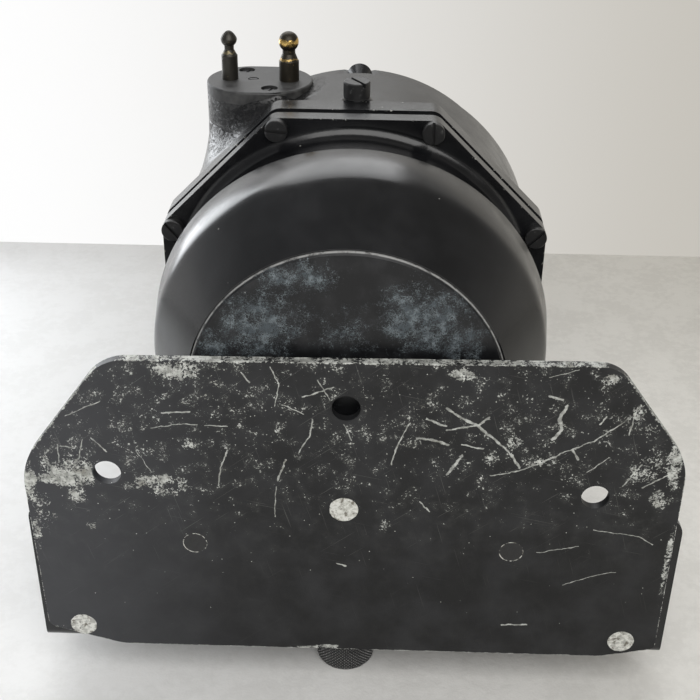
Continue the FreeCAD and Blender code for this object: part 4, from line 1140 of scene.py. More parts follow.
def turned_piece(name: str, profile: Sequence[Spot], place: Callable[[float, float, float], Sequence[float]],
                 steps: int, ring: bool = False) -> bpy.types.Object:
    """Makes a piece turned on a lathe.

    Args:
        name: name of the piece.
        profile: radius and height of its corners, in millimetres.
        place: gives the point at a radius, an angle and a height.
        steps: number of sides round the axis.
        ring: joins the last corner to the first, for a piece with a bore.

    Returns:
        The piece, in the scene.
    """
    points, rows = [], []
    for radius, height in profile:
        count = steps if radius > 0 else 1
        rows.append([len(points) + i % count for i in range(steps + 1)])
        points += [place(radius, 2 * math.pi * i / steps, height) for i in range(count)]
    faces = []
    for low, high in zip(rows, rows[1:] + rows[:1] if ring else rows[1:]):
        for i in range(steps):
            corners = (low[i], low[i + 1], high[i + 1], high[i])
            faces.append(tuple(dict.fromkeys(corners)))
    piece = mesh_piece(name, points, faces, smooth=True)
    face_outwards(piece, SHARP_EDGE)
    return piece


def arc_points(center: Spot, radius: float, start: float, end: float, count: int) -> list[Spot]:
    """Points along an arc, between two angles in degrees."""
    angles = [math.radians(start + (end - start) * i / count) for i in range(count + 1)]
    return [(center[0] + radius * math.cos(angle), center[1] + radius * math.sin(angle)) for angle in angles]


def place_on(piece: bpy.types.Object, body: str, finish: Finish) -> bpy.types.Object:
    """Gives a piece its finish and lets it ride on a body.

    Args:
        piece: the piece.
        body: name of the body.
        finish: its finish.

    Returns:
        The same piece.
    """
    piece.data.materials.clear()
    piece.data.materials.append(finish.material())
    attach(piece, body)
    log.info("%s rides on %s: %s", piece.name, body, finish.name)
    return piece


def reshaped(node: str, finish: Finish, move: Callable[[Vector], Vector]) -> bpy.types.Object:
    """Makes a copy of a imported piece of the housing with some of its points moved, in place of it.

    Args:
        node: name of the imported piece.
        finish: its finish.
        move: gives the new place of a point, in millimetres.

    Returns:
        The copy, in the scene.
    """
    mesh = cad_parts[node].data.copy()
    for vertex in mesh.vertices:
        vertex.co = move(vertex.co / MM) * MM
    kept = mesh.attributes.get("custom_normal")
    if kept is not None:
        mesh.attributes.remove(kept)
    mesh.set_sharp_from_angle(angle=math.radians(SHARP_EDGE))
    mesh.update()
    piece = in_scene(f"{node}_shaped", mesh)
    place_on(piece, "compass", finish)
    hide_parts(node)
    return piece


@dataclass
class HandScrew:
    """Knurled hand screw that holds the foot to the shelf."""

    side: str
    center: Spot
    bottom: float = -69.1
    head: float = 8.0
    radius: float = 6.2
    chamfer: float = 0.6
    collar_radius: float = 4.2
    collar_top: float = -59.25
    thread_radius: float = 2.0
    thread_depth: float = 0.28
    thread_pitch: float = 0.7
    thread_top: float = -54.2
    thread_rows: int = 48
    knurl_starts: int = 50
    knurl_depth: float = 0.4
    knurl_rows: int = 54
    steps_per_start: int = 7
    axis_gap: float = 0.05

    def knurl(self, angle: float, height: float) -> float:
        """Depth of the diamond knurl at a place on the head's side.

        Args:
            angle: place round the head, in radians.
            height: height above the head's bottom.

        Returns:
            How far the surface lies below the crests, in millimetres.
        """
        pitch = 2 * math.pi * self.radius / self.knurl_starts
        around = angle / (2 * math.pi) * self.knurl_starts
        up = height / pitch
        waves = [abs(2 * ((around + sign * up) % 1.0) - 1.0) for sign in (1, -1)]
        return self.knurl_depth * max(waves)

    def thread(self, angle: float, height: float) -> float:
        """Depth of the thread at a place on the shank.

        Args:
            angle: place round the shank, in radians.
            height: height above the collar.

        Returns:
            How far the surface lies below the crests, in millimetres.
        """
        turn = (height / self.thread_pitch - angle / (2 * math.pi)) % 1.0
        return self.thread_depth * abs(2 * turn - 1.0)

    def profile(self) -> list[tuple[float, float, Cut]]:
        """Rings from bottom to top.

        Returns:
            Radius and height of each ring, and what is cut into it.
        """
        top = self.bottom + self.head
        low, high = self.bottom + self.chamfer, top - self.chamfer
        length = self.thread_top - self.collar_top
        foot = [(self.axis_gap, self.bottom), (self.radius - 1.4, self.bottom),
                (self.radius - self.chamfer, self.bottom + 0.05)]
        side = [(self.radius, low + (high - low) * i / self.knurl_rows) for i in range(self.knurl_rows + 1)]
        collar = [(self.radius - self.chamfer, top), (self.collar_radius + 0.1, top),
                  (self.collar_radius, top + 0.1), (self.collar_radius, self.collar_top - 0.15),
                  (self.collar_radius - 0.15, self.collar_top), (self.thread_radius, self.collar_top)]
        shank = [(self.thread_radius, self.collar_top + length * i / self.thread_rows)
                 for i in range(1, self.thread_rows)]
        end = [(self.thread_radius - 0.4, self.thread_top), (self.axis_gap, self.thread_top)]
        stretches = ((foot, Cut.NONE), (side, Cut.KNURL), (collar, Cut.NONE), (shank, Cut.THREAD),
                     (end, Cut.NONE))
        return [(radius, height, cut) for corners, cut in stretches for radius, height in corners]

    def ring_points(self, radius: float, height: float, cut: Cut) -> list[tuple[float, float, float]]:
        """Points of one ring.

        Args:
            radius: its radius before anything is cut.
            height: its height.
            cut: what is cut into it.

        Returns:
            The points in the object's frame, in millimetres.
        """
        around = self.knurl_starts * self.steps_per_start
        points = []
        for i in range(around):
            angle = 2 * math.pi * i / around
            reach = radius
            if cut is Cut.KNURL:
                reach -= self.knurl(angle, height - self.bottom)
            if cut is Cut.THREAD:
                reach -= self.thread(angle, height - self.collar_top)
            across = (self.center[0] + reach * math.cos(angle), self.center[1] + reach * math.sin(angle))
            points.append((*across, height))
        return points

    def build(self) -> bpy.types.Object:
        """Makes the screw with its cut knurl and thread, in place of the plain node.

        Returns:
            The screw.
        """
        rings = [self.ring_points(*ring) for ring in self.profile()]
        around = len(rings[0])
        faces = []
        for row in range(len(rings) - 1):
            low, high = row * around, (row + 1) * around
            for i in range(around):
                j = (i + 1) % around
                faces.append((low + i, low + j, high + j, high + i))
        faces.append(tuple(reversed(range(around))))
        faces.append(tuple(range((len(rings) - 1) * around, len(rings) * around)))
        points = [point for ring in rings for point in ring]
        piece = mesh_piece(f"{self.side}_screw_knurled", points, faces, smooth=False)
        steel = KnurledSteel(f"knurled steel {self.side}", self.center, self.radius, self.knurl_depth)
        place_on(piece, f"thumbscrew_{self.side}", steel)
        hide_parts(f"thumbscrew_{self.side}")
        return piece


@dataclass
class CardScale:
    """Scale round the card: plain numbers each 30 degrees and lines each 10 degrees."""

    axis: Spot = (0.0, -52.0)
    radius: float = 20.5
    proud: float = 0.04
    sunk: float = 0.02
    number_height: float = 4.6
    size_per_height: float = 1.35
    number_level: float = -0.4
    line_top: float = 6.6
    long_line: float = 2.6
    short_line: float = 1.6
    line_width: float = 0.45
    number_step: int = 30
    line_step: int = 10

    def wrapped(self, heading: float, across: float, height: float,
                depth: float) -> tuple[float, float, float]:
        """Point on the card's skirt.

        Args:
            heading: where the mark stands, in degrees; headings grow to the reader's left.
            across: distance to the reader's right of the mark's middle, in millimetres.
            height: height above the card's middle.
            depth: distance out of the skirt.

        Returns:
            The point in the object's frame, in millimetres.
        """
        angle = math.radians(heading) - across / self.radius
        reach = self.radius + depth
        return (self.axis[0] - reach * math.sin(angle), self.axis[1] - reach * math.cos(angle), height)

    def numbers(self) -> bpy.types.Object:
        """Raised numbers, wrapped round the skirt.

        Returns:
            The numbers, as one piece.
        """
        points, faces = [], []
        for heading in range(self.number_step, 361, self.number_step):
            curve = bpy.data.curves.new("number", "FONT")
            curve.body = str(heading // 10)
            curve.align_x = "CENTER"
            curve.align_y = "CENTER"
            curve.size = self.number_height * self.size_per_height
            curve.extrude = (self.proud + self.sunk) / 2
            curve.resolution_u = 5
            number = in_scene("number", curve)
            bpy.context.view_layer.update()
            shown = number.evaluated_get(bpy.context.evaluated_depsgraph_get())
            mesh = bpy.data.meshes.new_from_object(shown)
            first = len(points)
            for vertex in mesh.vertices:
                depth = self.proud if vertex.co.z > 0 else -self.sunk
                points.append(self.wrapped(heading, vertex.co.x, self.number_level + vertex.co.y, depth))
            faces += [tuple(first + i for i in polygon.vertices) for polygon in mesh.polygons]
            bpy.data.objects.remove(number)
        return mesh_piece("card_numbers", points, faces, smooth=False)

    def lines(self) -> bpy.types.Object:
        """Raised lines above the numbers, long ones over each number.

        Returns:
            The lines, as one piece.
        """
        shell = ((0, 3, 2, 1), (4, 5, 6, 7), (0, 1, 5, 4), (1, 2, 6, 5), (2, 3, 7, 6), (3, 0, 4, 7))
        points, faces = [], []
        for heading in range(0, 360, self.line_step):
            low = self.line_top - (self.short_line if heading % self.number_step else self.long_line)
            first = len(points)
            for depth in (-self.sunk, self.proud):
                for across, height in ((-1, low), (1, low), (1, self.line_top), (-1, self.line_top)):
                    points.append(self.wrapped(heading, across * self.line_width / 2, height, depth))
            faces += [tuple(first + i for i in face) for face in shell]
        return mesh_piece("card_lines", points, faces, smooth=False)

    def build(self) -> None:
        """Prints numbers and lines on the card."""
        marks = FlatPaint("scale paint", colour=(0.74, 0.73, 0.62), aged=(0.62, 0.60, 0.48), rough=0.55)
        for piece in (self.numbers(), self.lines()):
            place_on(piece, "card", marks)


@dataclass(frozen=True)
class Field:
    """Part of the plate with a finish of its own: its lowest and highest X and Z."""

    left: float
    right: float
    low: float
    high: float

    def meets(self, points: Sequence[Spot], spare: Spot = (0.0, 0.0)) -> bool:
        """Tells whether a mark reaches the field.

        Args:
            points: the mark's points.
            spare: how far the mark goes beyond them along X and Z.

        Returns:
            True where the mark's box meets the field.
        """
        xs = [x for x, _ in points]
        zs = [z for _, z in points]
        beside = min(xs) - spare[0] < self.right and max(xs) + spare[0] > self.left
        return beside and min(zs) - spare[1] < self.high and max(zs) + spare[1] > self.low


@dataclass
class Bracket:
    """Mounting plate, shelf and rivets, with the wear seen from behind.

    The plate has more marks than one material can hold, so it is painted in fields. Each field's
    finish holds the marks that reach it, and the marks run on across the fields' borders.
    """

    corners: tuple[Spot, ...] = PLATE_CORNERS
    borders_x: tuple[float, ...] = (-44.0, -28.0, -10.0, 8.0, 24.0, 42.0)
    borders_z: tuple[float, ...] = (-24.0, -8.0)
    margin: float = 2.5
    beyond: float = 99.0
    weld: float = 1e-7

    def field_bounds(self, column: int, row: int) -> Field:
        """Bounds of a field, widened by the margin.

        Args:
            column: the field's place along X.
            row: the field's place along Z.

        Returns:
            The bounds, which lie beyond the plate at its own sides.
        """
        xs = (-self.beyond, *self.borders_x, self.beyond)
        zs = (-self.beyond, *self.borders_z, self.beyond)
        return Field(xs[column] - self.margin, xs[column + 1] + self.margin,
                     zs[row] - self.margin, zs[row + 1] + self.margin)

    def field_finish(self, column: int, row: int) -> PlateEnamel:
        """Finish of one field, with the marks that reach it.

        Args:
            column: the field's place along X.
            row: the field's place along Z.

        Returns:
            The finish.
        """
        field = self.field_bounds(column, row)
        scratches = []
        for scratch in PLATE_SCRATCHES:
            for pair in zip(scratch.points, scratch.points[1:]):
                if field.meets(pair):
                    scratches.append(Scratch(pair, scratch.half_width))
        patches = [patch for patch in PLATE_PATCHES if field.meets([patch.center], patch.reach)]
        holes = [hole for hole in HOLE_RINGS if field.meets([hole[0]], (hole[1], hole[1]))]
        return PlateEnamel(f"plate enamel {column}.{row}", sides=outline_sides(self.corners),
                           scratches=tuple(scratches), patches=tuple(patches), holes=tuple(holes))

    def painted_plate(self) -> bpy.types.Object:
        """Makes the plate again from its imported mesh, cut along the fields' borders.

        Returns:
            The plate, with one finish for each field.
        """
        shape = bmesh.new()
        shape.from_mesh(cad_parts["mount_plate"].data)
        bmesh.ops.remove_doubles(shape, verts=shape.verts, dist=self.weld)
        cuts = [((x, 0.0, 0.0), (1.0, 0.0, 0.0)) for x in self.borders_x]
        cuts += [((0.0, 0.0, z), (0.0, 0.0, 1.0)) for z in self.borders_z]
        for point, normal in cuts:
            everything = [*shape.verts, *shape.edges, *shape.faces]
            bmesh.ops.bisect_plane(shape, geom=everything, plane_co=Vector(point) * MM, plane_no=normal)
        mesh = bpy.data.meshes.new("painted_plate")
        rows = len(self.borders_z) + 1
        for column in range(len(self.borders_x) + 1):
            for row in range(rows):
                mesh.materials.append(self.field_finish(column, row).material())
        for face in shape.faces:
            middle = face.calc_center_median() / MM
            column = sum(middle.x > border for border in self.borders_x)
            row = sum(middle.z > border for border in self.borders_z)
            face.material_index = column * rows + row
            face.smooth = False
        shape.to_mesh(mesh)
        shape.free()
        return in_scene("painted_plate", mesh)

    def build(self) -> None:
        """Paints plate and shelf, and rubs the rivets."""
        plate = self.painted_plate()
        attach(plate, "compass")
        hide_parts("mount_plate")
        log.info("%s rides on compass, in %d fields", plate.name, len(plate.data.materials))
        dress(BodyEnamel("shelf enamel", chipped=(0.25, 0.25, 0.23)), "shelf_bracket")
        dress(RivetAlloy("center rivet", (CENTER_RIVET,), radius=3.0), "center_rivet")
        dress(RivetAlloy("corner rivets", CORNER_RIVETS, radius=2.9, alloy=(0.42, 0.42, 0.39)),
              "corner_rivets")
        dress(RivetAlloy("painted rivets", SIDE_RIVETS, radius=2.6, bared=False), "side_rivets")


@dataclass
class Housing:
    """Bowl, cover, cap, bezel and foot with their screws and gaskets."""

    def build(self) -> None:
        """Gives the castings, the disc, the rubber and the screws their finishes."""
        dress(BodyEnamel("body enamel"), "rear_cover", "base_foot", "corrector_housing")
        dress(DiscEnamel("disc enamel"), "rear_disc")
        dress(Rubber("gasket rubber"), "cover_gasket", "window_gasket")
        dress(BlackSteel("screw black"), "cover_screws", "bezel_screws", "corrector_screws")


@dataclass
class Filler:
    """Filler plug, whose head sits low on a narrow neck."""

    y: float = -54.9
    neck_radius: float = 3.3
    neck_top: float = 39.5
    washer_top: float = 40.1
    slim_radius: float = 2.6
    low_neck_top: float = 38.95
    low_washer_top: float = 39.3
    drum_top: float = 38.45
    spare: float = 0.2

    def slim(self, spot: Vector) -> Vector:
        """New place of a point of the bowl: the neck grows slim and low, the rest stays.

        Args:
            spot: the point.

        Returns:
            Its new place.
        """
        across = Vector((spot.x, spot.y - self.y))
        if spot.z < self.drum_top or abs(across.length - self.neck_radius) > self.spare:
            return spot
        across *= self.slim_radius / self.neck_radius
        height = self.low_neck_top if spot.z > self.neck_top - 0.1 else spot.z
        return Vector((across.x, self.y + across.y, height))

    def lowered(self, spot: Vector) -> Vector:
        """New place of a point of the washer, which goes down with the neck.

        Args:
            spot: the point.

        Returns:
            Its new place.
        """
        across = Vector((spot.x, spot.y - self.y))
        if across.length > self.slim_radius:
            across *= (self.slim_radius + 0.05) / across.length
        height = self.low_washer_top if spot.z > self.neck_top + 0.1 else self.low_neck_top
        return Vector((across.x, self.y + across.y, height))

    def lengthened(self, spot: Vector) -> Vector:
        """New place of a point of the plug: the head's underside comes down to the washer.

        Args:
            spot: the point.

        Returns:
            Its new place.
        """
        if abs(spot.z - self.washer_top) < 0.05:
            return Vector((spot.x, spot.y, self.low_washer_top))
        return spot

    def build(self) -> None:
        """Reshapes the bowl's neck, the washer and the plug."""
        reshaped("bowl_body", BodyEnamel("body enamel"), self.slim)
        reshaped("filler_washer", Rubber("gasket rubber"), self.lowered)
        reshaped("filler_plug", BlackSteel("screw black"), self.lengthened)


@dataclass
class FrontRing:
    """Bezel ring, whose lug is domed towards the back."""

    lug_half: float = 2.85
    lug_foot: float = 34.2
    back_y: float = -78.0
    dome: float = 0.35
    lowered: float = 0.4

    def domed(self, spot: Vector) -> Vector:
        """New place of a point of the ring: the lug's back face draws in.

        Args:
            spot: the point.

        Returns:
            Its new place.
        """
        if abs(spot.x) > self.lug_half or spot.z < self.lug_foot:
            return spot
        if spot.y < self.back_y - 0.05:
            return Vector((spot.x, spot.y, max(self.lug_foot, spot.z - self.lowered)))
        return Vector((spot.x * self.dome, spot.y, self.lug_foot + (spot.z - self.lug_foot) * self.dome))

    def build(self) -> None:
        """Reshapes the lug."""
        reshaped("bezel_ring", BodyEnamel("body enamel"), self.domed)


@dataclass
class BossFillet:
    """Cast fillet that blends the lamp boss into the drum, on the sides that the flange leaves open."""

    center: Spot = (20.8, -68.05)
    straight: float = 1.95
    end_radius: float = 9.25
    drum_radius: float = 38.45
    height: float = 8.0
    reach: float = 4.4
    extra_reach: float = 1.4
    low_height: float = 1.6
    low_up_to: float = 12.0
    high_from: float = 28.0
    depth: float = 1.2
    curve_steps: int = 12
    wall_overlap: float = 0.12
    first_angle: float = -26.0
    last_angle: float = 130.0
    left_steps: int = 32
    right_steps: int = 16
    rising_steps: int = 9
    falling_steps: int = 10
    least_share: float = 0.04
    sharp: float = 50.0

    def end_arc(self, aside: float, start: float, end: float, steps: int) -> list[tuple[Spot, Spot]]:
        """Way round one end of the boss.

        Args:
            aside: the end's place beside the boss's middle, in millimetres.
            start: angle at which the way starts, in degrees.
            end: angle at which it ends.
            steps: number of steps between them.

        Returns:
            Points of the boss's outline, each with its outward direction.
        """
        middle = (self.center[0] + aside, self.center[1])
        spots = arc_points(middle, self.end_radius, start, end, steps)
        return list(zip(spots, arc_points((0.0, 0.0), 1.0, start, end, steps)))

    def outline(self) -> list[tuple[Spot, Spot]]:
        """Way round the boss's foot, from its left end along its back to the right end.

        Returns:
            Points of the boss's outline, each with its outward direction.
        """
        left = self.end_arc(self.straight, self.first_angle, 90.0, self.left_steps)
        right = self.end_arc(-self.straight, 90.0, self.last_angle, self.right_steps)
        return left + right[1:]

    def level(self, x: float) -> float:
        """Height of the drum's surface at a place across it."""
        return math.sqrt(self.drum_radius ** 2 - x ** 2)

    def section(self, spot: Spot, out: Spot, share: float) -> list[tuple[float, float, float]]:
        """Closed section of the fillet: the hollow curve outside, and a root sunk into the casting.

        Args:
            spot: place on the boss's outline.
            out: direction away from the boss there.
            share: size of the section, from 0 to 1.

        Returns:
            The section's points in the object's frame, in millimetres.
        """
        far_left = max(0.0, min(1.0, (spot[0] - self.low_up_to) / (self.high_from - self.low_up_to)))
        rise = share * (self.low_height + (self.height - self.low_height) * far_left)
        reach = share * (self.reach + self.extra_reach * max(0.0, out[1]))
        foot = (spot[0] + out[0] * reach, spot[1] + out[1] * reach)
        start = Vector((-self.wall_overlap, self.level(spot[0]) + rise))
        corner = Vector((0.0, self.level(spot[0]) + 0.15 * rise))
        end = Vector((reach, self.level(foot[0]) - 0.12))
        curve = []
        for i in range(self.curve_steps + 1):
            t = i / self.curve_steps
            curve.append(start * (1 - t) ** 2 + corner * (2 * t * (1 - t)) + end * t ** 2)
        curve.append(Vector((reach, end.y - self.depth)))
        curve.append(Vector((-self.depth, self.level(spot[0]) - self.depth)))
        curve.append(Vector((-self.depth, start.y - 0.3 * share)))
        return [(spot[0] + out[0] * p.x, spot[1] + out[1] * p.x, p.y) for p in curve]

    def build(self) -> bpy.types.Object:
        """Makes the fillet, which thins out at both ends.

        Returns:
            The fillet.
        """
        places = self.outline()
        last = len(places) - 1
        points, faces = [], []
        for i, (spot, out) in enumerate(places):
            rising = math.sin(math.pi / 2 * min(1.0, i / self.rising_steps))
            falling = math.sin(math.pi / 2 * min(1.0, (last - i) / self.falling_steps))
            points += self.section(spot, out, max(self.least_share, rising * falling))
        size = len(points) // len(places)
        for i in range(last):
            for j in range(size):
                k = (j + 1) % size
                faces.append((i * size + j, i * size + k, (i + 1) * size + k, (i + 1) * size + j))
        faces.append(tuple(range(size)))
        faces.append(tuple(reversed(range(last * size, (last + 1) * size))))
        piece = mesh_piece("boss_fillet", points, faces, smooth=True)
        face_outwards(piece, self.sharp)
        return place_on(piece, "compass", BodyEnamel("body enamel"))


@dataclass
class RearCap:
    """Rear cap as the photograph shows it: a tapered skirt that rounds softly into the domed face."""

    lip_y: float = -27.6
    lip_radius: float = 38.5
    skirt_end: Spot = (37.55, -19.3)
    rounding: tuple[Spot, ...] = ((37.41, -18.4), (37.20, -17.6), (36.90, -16.9), (36.52, -16.2))
    face_end: Spot = (29.2, -4.6)
    bulge: float = 0.12
    bore: float = 35.35
    inner: tuple[Spot, ...] = (
        (28.95, -4.6), (28.95, -6.2), (25.9, -6.2), (25.9, -8.0),
        (32.8, -16.0), (32.8, -20.0), (35.35, -20.0),
    )
    face_steps: int = 12
    sides: int = 240

    def face(self, start: Spot) -> list[Spot]:
        """Corners of the face, from the rounding's end to the disc's seat.

        Args:
            start: the rounding's end.

        Returns:
            Radius and place along Y of each corner, in millimetres.
        """
        run = Vector(self.face_end) - Vector(start)
        outward = Vector((run.y, -run.x)).normalized()
        corners = []
        for i in range(1, self.face_steps + 1):
            share = i / self.face_steps
            spot = Vector(start) + run * share + outward * (4 * self.bulge * share * (1 - share))
            corners.append((spot.x, spot.y))
        return corners

    def around(self, radius: float, angle: float, y: float) -> tuple[float, float, float]:
        """Point at a radius and an angle round the drum's axis."""
        return (radius * math.cos(angle), y, radius * math.sin(angle))

    def build(self) -> bpy.types.Object:
        """Makes the cap in place of the plain node.

        Returns:
            The cap.
        """
        lip = [(self.bore, self.lip_y), (self.lip_radius - 0.5, self.lip_y),
               (self.lip_radius - 0.12, self.lip_y + 0.12), (self.lip_radius, self.lip_y + 0.5)]
        profile = lip + [self.skirt_end, *self.rounding, *self.face(self.rounding[-1]), *self.inner]
        piece = turned_piece("rear_cap_shell", profile, self.around, self.sides, ring=True)
        place_on(piece, "compass", BodyEnamel("body enamel"))
        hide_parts("rear_cap")
        return piece


@dataclass
class ContactPin:
    """Ball-ended contact pin, with a waist under the ball."""

    name: str
    x: float
    radius: float
    neck: float
    tip: float = 0.0
    y: float = -68.05
    seat: float = 38.1
    tail: float = 33.9
    top: float = 48.3
    ball_steps: int = 20
    sides: int = 64

    def profile(self) -> list[Spot]:
        """Corners from the tail to the ball's top; tip draws the ball out to a soft point.

        Returns:
            Radius and height of each corner, in millimetres.
        """
        ball = self.top - self.radius
        reach = math.sqrt(self.radius ** 2 - self.neck ** 2)
        shoulder = ball - self.radius - 1.1
        half = self.neck * 0.5
        corners = [(0.0, self.tail), (self.neck, self.tail), (self.neck, self.seat), (self.radius, self.seat),
                   (self.radius, shoulder - half - 0.15), (self.radius - 0.15, shoulder - half),
                   (self.neck + 0.1, shoulder + half - 0.1), (self.neck, shoulder + half + 0.05),
                   (self.neck, ball - reach - 0.1)]
        start = math.degrees(math.atan2(-reach, self.neck))
        for radius, height in arc_points((0.0, ball), self.radius, start, 90.0, self.ball_steps):
            above = max(0.0, (height - ball) / self.radius)
            corners.append((max(0.0, radius * (1.0 - self.tip * above)), height))
        corners[-1] = (0.0, self.top)
        return corners

    def around(self, radius: float, angle: float, z: float) -> tuple[float, float, float]:
        """Point at a radius and an angle round the pin's axis."""
        return (self.x + radius * math.cos(angle), self.y + radius * math.sin(angle), z)

    def build(self, slot: Slot, finish: Finish) -> bpy.types.Object:
        """Makes the pin in place of the plain node.

        Args:
            slot: its material slot; not used.
            finish: its finish.

        Returns:
            The pin.
        """
        piece = turned_piece(f"{self.name}_turned", self.profile(), self.around, self.sides)
        place_on(piece, "compass", finish)
        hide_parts(self.name)
        return piece


@dataclass
class LampConnector:
    """Block, contact pins, screws and lamp on the bowl's boss."""

    def build(self) -> None:
        """Gives the connector and its lamp their finishes."""
        dress(Insulator("insulating block"), "connector_block")
        brass = PatinatedPin("large pin brass", bright_bands=((46.3, 0.75, 1.0), (42.6, 0.2, 0.45)))
        ContactPin("contact_pin_large", 14.6, 2.1, 1.35).build(Slot.PIN_BRASS, brass)
        bronze = PatinatedPin("small pin bronze", metal=(0.42, 0.34, 0.17), patina=(0.045, 0.042, 0.036),
                              bright_bands=((43.9, 0.2, 0.3),))
        ContactPin("contact_pin_small", 27.1, 1.7, 1.0, tip=0.3).build(Slot.PIN_BRONZE, bronze)
        dress(BlackSteel("connector screw black", wear=0.05), "connector_screws", "connector_center_screw")
        dress(ClearGlass("lamp glass", tint=(0.95, 0.93, 0.85)), "lamp_bulb", "lamp_window")
        dress(BareMetal("lamp metal", colour=(0.50, 0.49, 0.46)), "lamp_socket")


@dataclass
class Inside:
    """Card, pivot, corrector magnets and capsule."""

    def build(self) -> None:
        """Gives the inner pieces their finishes."""
        dress(ClearGlass("window glass"), "window_glass")
        dress(FlatPaint("mask black"), "mask_ring")
        dress(FlatPaint("lubber paint", colour=(0.78, 0.76, 0.62), aged=(0.66, 0.63, 0.5)), "lubber_line")
        dress(FlatPaint("card paint", colour=(0.011, 0.011, 0.0115), aged=(0.018, 0.018, 0.018)), "card_dial")
        dress(BareMetal("float metal", colour=(0.58, 0.58, 0.57), rough=0.36), "card_float", "magnet_holder")
        dress(BareMetal("magnet steel", colour=(0.22, 0.22, 0.22), tarnish=(0.12, 0.11, 0.10), rough=0.45),
              "card_magnets", "c_upper_magnets", "c_lower_magnets", "b_upper_magnets", "b_lower_magnets")
        dress(BareMetal("gear brass", colour=(0.62, 0.44, 0.17), tarnish=(0.36, 0.25, 0.11)),
              "c_upper_wheel", "c_lower_wheel", "b_upper_wheel", "b_lower_wheel")
        dress(BareMetal("spindle brass", colour=(0.56, 0.40, 0.16), tarnish=(0.30, 0.22, 0.10)),
              "c_spindle", "b_spindle")
        dress(BareMetal("bright steel", colour=(0.62, 0.62, 0.61), tarnish=(0.42, 0.42, 0.41), rough=0.18),
              "corrector_axles", "stem_spring", "pivot_ball", "pivot_pin")
        dress(Gem("jewel"), "jewel_cup")
        dress(BareMetal("bellows brass", colour=(0.60, 0.43, 0.18), tarnish=(0.40, 0.28, 0.12)),
              "capsule_bellows", "capsule_end")
        dress(BareMetal("stem metal", colour=(0.52, 0.51, 0.48), tarnish=(0.34, 0.32, 0.28)),
              "capsule_foot", "stem_post")


@dataclass
class Stage:
    """Table and wall behind the object."""

    table_level: float = -69.1
    wall_at: float = -209.5
    wall_top: float = 108.0
    half_width: float = 900.0
    depth: float = 1100.0

    def sheet(self, name: str, corners: Sequence[Sequence[float]], finish: Finish) -> None:
        """Makes one flat sheet of the stage.

        Args:
            name: its name.
            corners: its four corners, counter-clockwise seen from the object, in millimetres.
            finish: its finish.
        """
        piece = mesh_piece(name, corners, [(0, 1, 2, 3)], smooth=False)
        piece.data.materials.append(finish.material())

    def build(self) -> None:
        """Lays the table and stands the wall, which glows with its painted colour for camera and reflections
        and is clear from behind.
        """
        side, level, wall = self.half_width, self.table_level, self.wall_at
        foot = ((-side, wall, level), (side, wall, level))
        head = ((-side, wall, self.wall_top), (side, wall, self.wall_top))
        # Painted light: table and wall are lighter towards the window on +X, darker and warmer on the far
        # side
        paint = MottledGround("glowing wall paint", painted_lit_ground=(1.0, 1.0, 1.0), painted_shaded_ground=(0.56, 0.535, 0.485),
                              mottle=0.002, one_sided_glowing=True)
        self.sheet("table", (*foot, (side, self.depth, level), (-side, self.depth, level)),
                   MottledGround("table paint"))
        # The wall glows with its painted colour for camera and reflection rays
        self.sheet("wall", (foot[1], foot[0], *head), paint)


@dataclass(frozen=True)
class SoftBox:
    """Square lamp with a wide soft face."""

    name: str
    place: tuple[float, float, float]
    target: tuple[float, float, float]
    side: float
    power: float
    colour: Colour

    def build(self) -> None:
        """Hangs the lamp and turns it to its target."""
        data = bpy.data.lights.new(self.name, "AREA")
        data.shape = "SQUARE"
        data.size = self.side
        data.energy = self.power
        data.color = self.colour
        lamp = in_scene(self.name, data)
        lamp.location = self.place
        aim = Vector(self.target) - Vector(self.place)
        lamp.rotation_euler = aim.to_track_quat("-Z", "Y").to_euler()


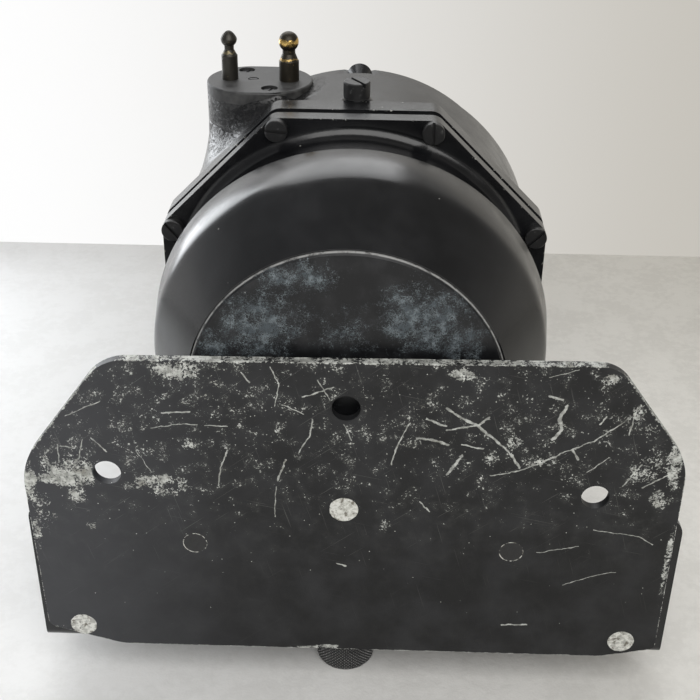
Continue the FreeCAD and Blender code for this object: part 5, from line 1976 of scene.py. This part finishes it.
@dataclass
class Studio:
    """Soft light of the studio: a pale wall behind the object, a dimmer room behind the camera."""

    sky_window: Colour = (0.97, 0.985, 1.0)
    sky_room: Colour = (0.66, 0.64, 0.60)
    wall_strength: float = 1.0
    room_strength: float = 0.34
    zenith_share: float = 0.45
    turns_at: float = 0.8
    lamps: tuple[SoftBox, ...] = (
        SoftBox("window lamp", (0.207, -0.203, 0.060), (0.207, 0.30, 0.060), 0.162, 0.34, (0.93, 0.965, 1.0)),
        SoftBox("sky lamp", (0.15, -0.86, 0.86), (0.0, -0.04, 0.0), 1.00, 7.8, (0.98, 0.99, 1.0)),
        SoftBox("room lamp", (-0.10, 0.66, 0.64), (0.0, 0.0, -0.03), 0.90, 8.9, (1.0, 0.99, 0.975)),
    )

    def ramp(self, tree: bpy.types.NodeTree, value: Socket, low: float, high: float) -> Socket:
        """Goes smoothly from low to high while a coordinate of the direction goes up.

        Args:
            tree: the sky's node tree.
            value: the coordinate, from -1 to 1.
            low: result at its low end.
            high: result at its high end.

        Returns:
            The result's socket.
        """
        share = tree.nodes.new("ShaderNodeMapRange")
        share.interpolation_type = "SMOOTHSTEP"
        tree.links.new(value, share.inputs["Value"])
        bounds = {"From Min": -self.turns_at, "From Max": self.turns_at, "To Min": low, "To Max": high}
        for name, number in bounds.items():
            share.inputs[name].default_value = number
        return share.outputs["Result"]

    def build(self) -> None:
        """Sets the sky, brighter towards the wall and the window, and hangs the lamps."""
        world = bpy.data.worlds.new("studio")
        bpy.context.scene.world = world
        world.use_nodes = True
        tree = world.node_tree
        ground = tree.nodes["Background"]
        source = tree.nodes.new("ShaderNodeTexCoord")
        split = tree.nodes.new("ShaderNodeSeparateXYZ")
        mix = tree.nodes.new("ShaderNodeMix")
        mix.data_type = "RGBA"
        tree.links.new(source.outputs["Generated"], split.inputs[0])
        colours = [s for s in mix.inputs if s.type == "RGBA"]
        colours[0].default_value = (*self.sky_room, 1.0)
        colours[1].default_value = (*self.sky_window, 1.0)
        x, y, z = split.outputs
        tree.links.new(self.ramp(tree, x, 0.0, 1.0), mix.inputs["Factor"])
        tree.links.new(next(s for s in mix.outputs if s.type == "RGBA"), ground.inputs["Color"])
        dimmed = tree.nodes.new("ShaderNodeMath")
        dimmed.operation = "MULTIPLY"
        tree.links.new(self.ramp(tree, y, self.wall_strength, self.room_strength), dimmed.inputs[0])
        tree.links.new(self.ramp(tree, z, 2.0 - self.zenith_share, self.zenith_share), dimmed.inputs[1])
        tree.links.new(dimmed.outputs[0], ground.inputs["Strength"])
        for lamp in self.lamps:
            lamp.build()


@dataclass
class Viewpoint:
    """Camera at the photograph's viewing angle."""

    place: tuple[float, float, float] = (-5.09, 177.1, 116.3)
    pitch: float = 30.46
    yaw: float = -1.46
    roll: float = -0.61
    focal_pixels: float = 1188.0
    sensor: float = 36.0
    clip: tuple[float, float] = (0.01, 20.0)

    def turn(self) -> Matrix:
        """Works out how the camera is turned.

        Returns:
            The camera's right, up and back in the object's frame, as columns.
        """
        turns = ((self.roll, "Z"), (self.pitch, "X"), (self.yaw, "Y"))
        roll, pitch, yaw = [Matrix.Rotation(math.radians(angle), 3, axis) for angle, axis in turns]
        tilt = roll @ pitch @ yaw
        axes = [Vector((-row[0], row[2], row[1])) for row in tilt]
        return Matrix(axes).transposed()

    def build(self) -> None:
        """Makes the scene's camera."""
        data = bpy.data.cameras.new("camera")
        data.sensor_width = self.sensor
        data.lens = self.sensor * self.focal_pixels / PHOTO_SIDE
        data.clip_start, data.clip_end = self.clip
        camera = in_scene("camera", data)
        camera.matrix_world = Matrix.Translation(Vector(self.place) * MM) @ self.turn().to_4x4()
        bpy.context.scene.camera = camera


def main() -> None:
    """Dresses the object piece by piece, then sets stage, light and camera."""
    logging.basicConfig(level=logging.INFO, format="%(name)s %(message)s")
    bpy.context.scene.view_settings.view_transform = "Standard"
    Bracket().build()
    Housing().build()
    RearCap().build()
    Filler().build()
    BossFillet().build()
    FrontRing().build()
    LampConnector().build()
    Inside().build()
    for side, center in HAND_SCREWS.items():
        HandScrew(side, center).build()
    CardScale().build()
    Stage().build()
    Studio().build()
    Viewpoint().build()


if __name__ == "__main__":
    main()
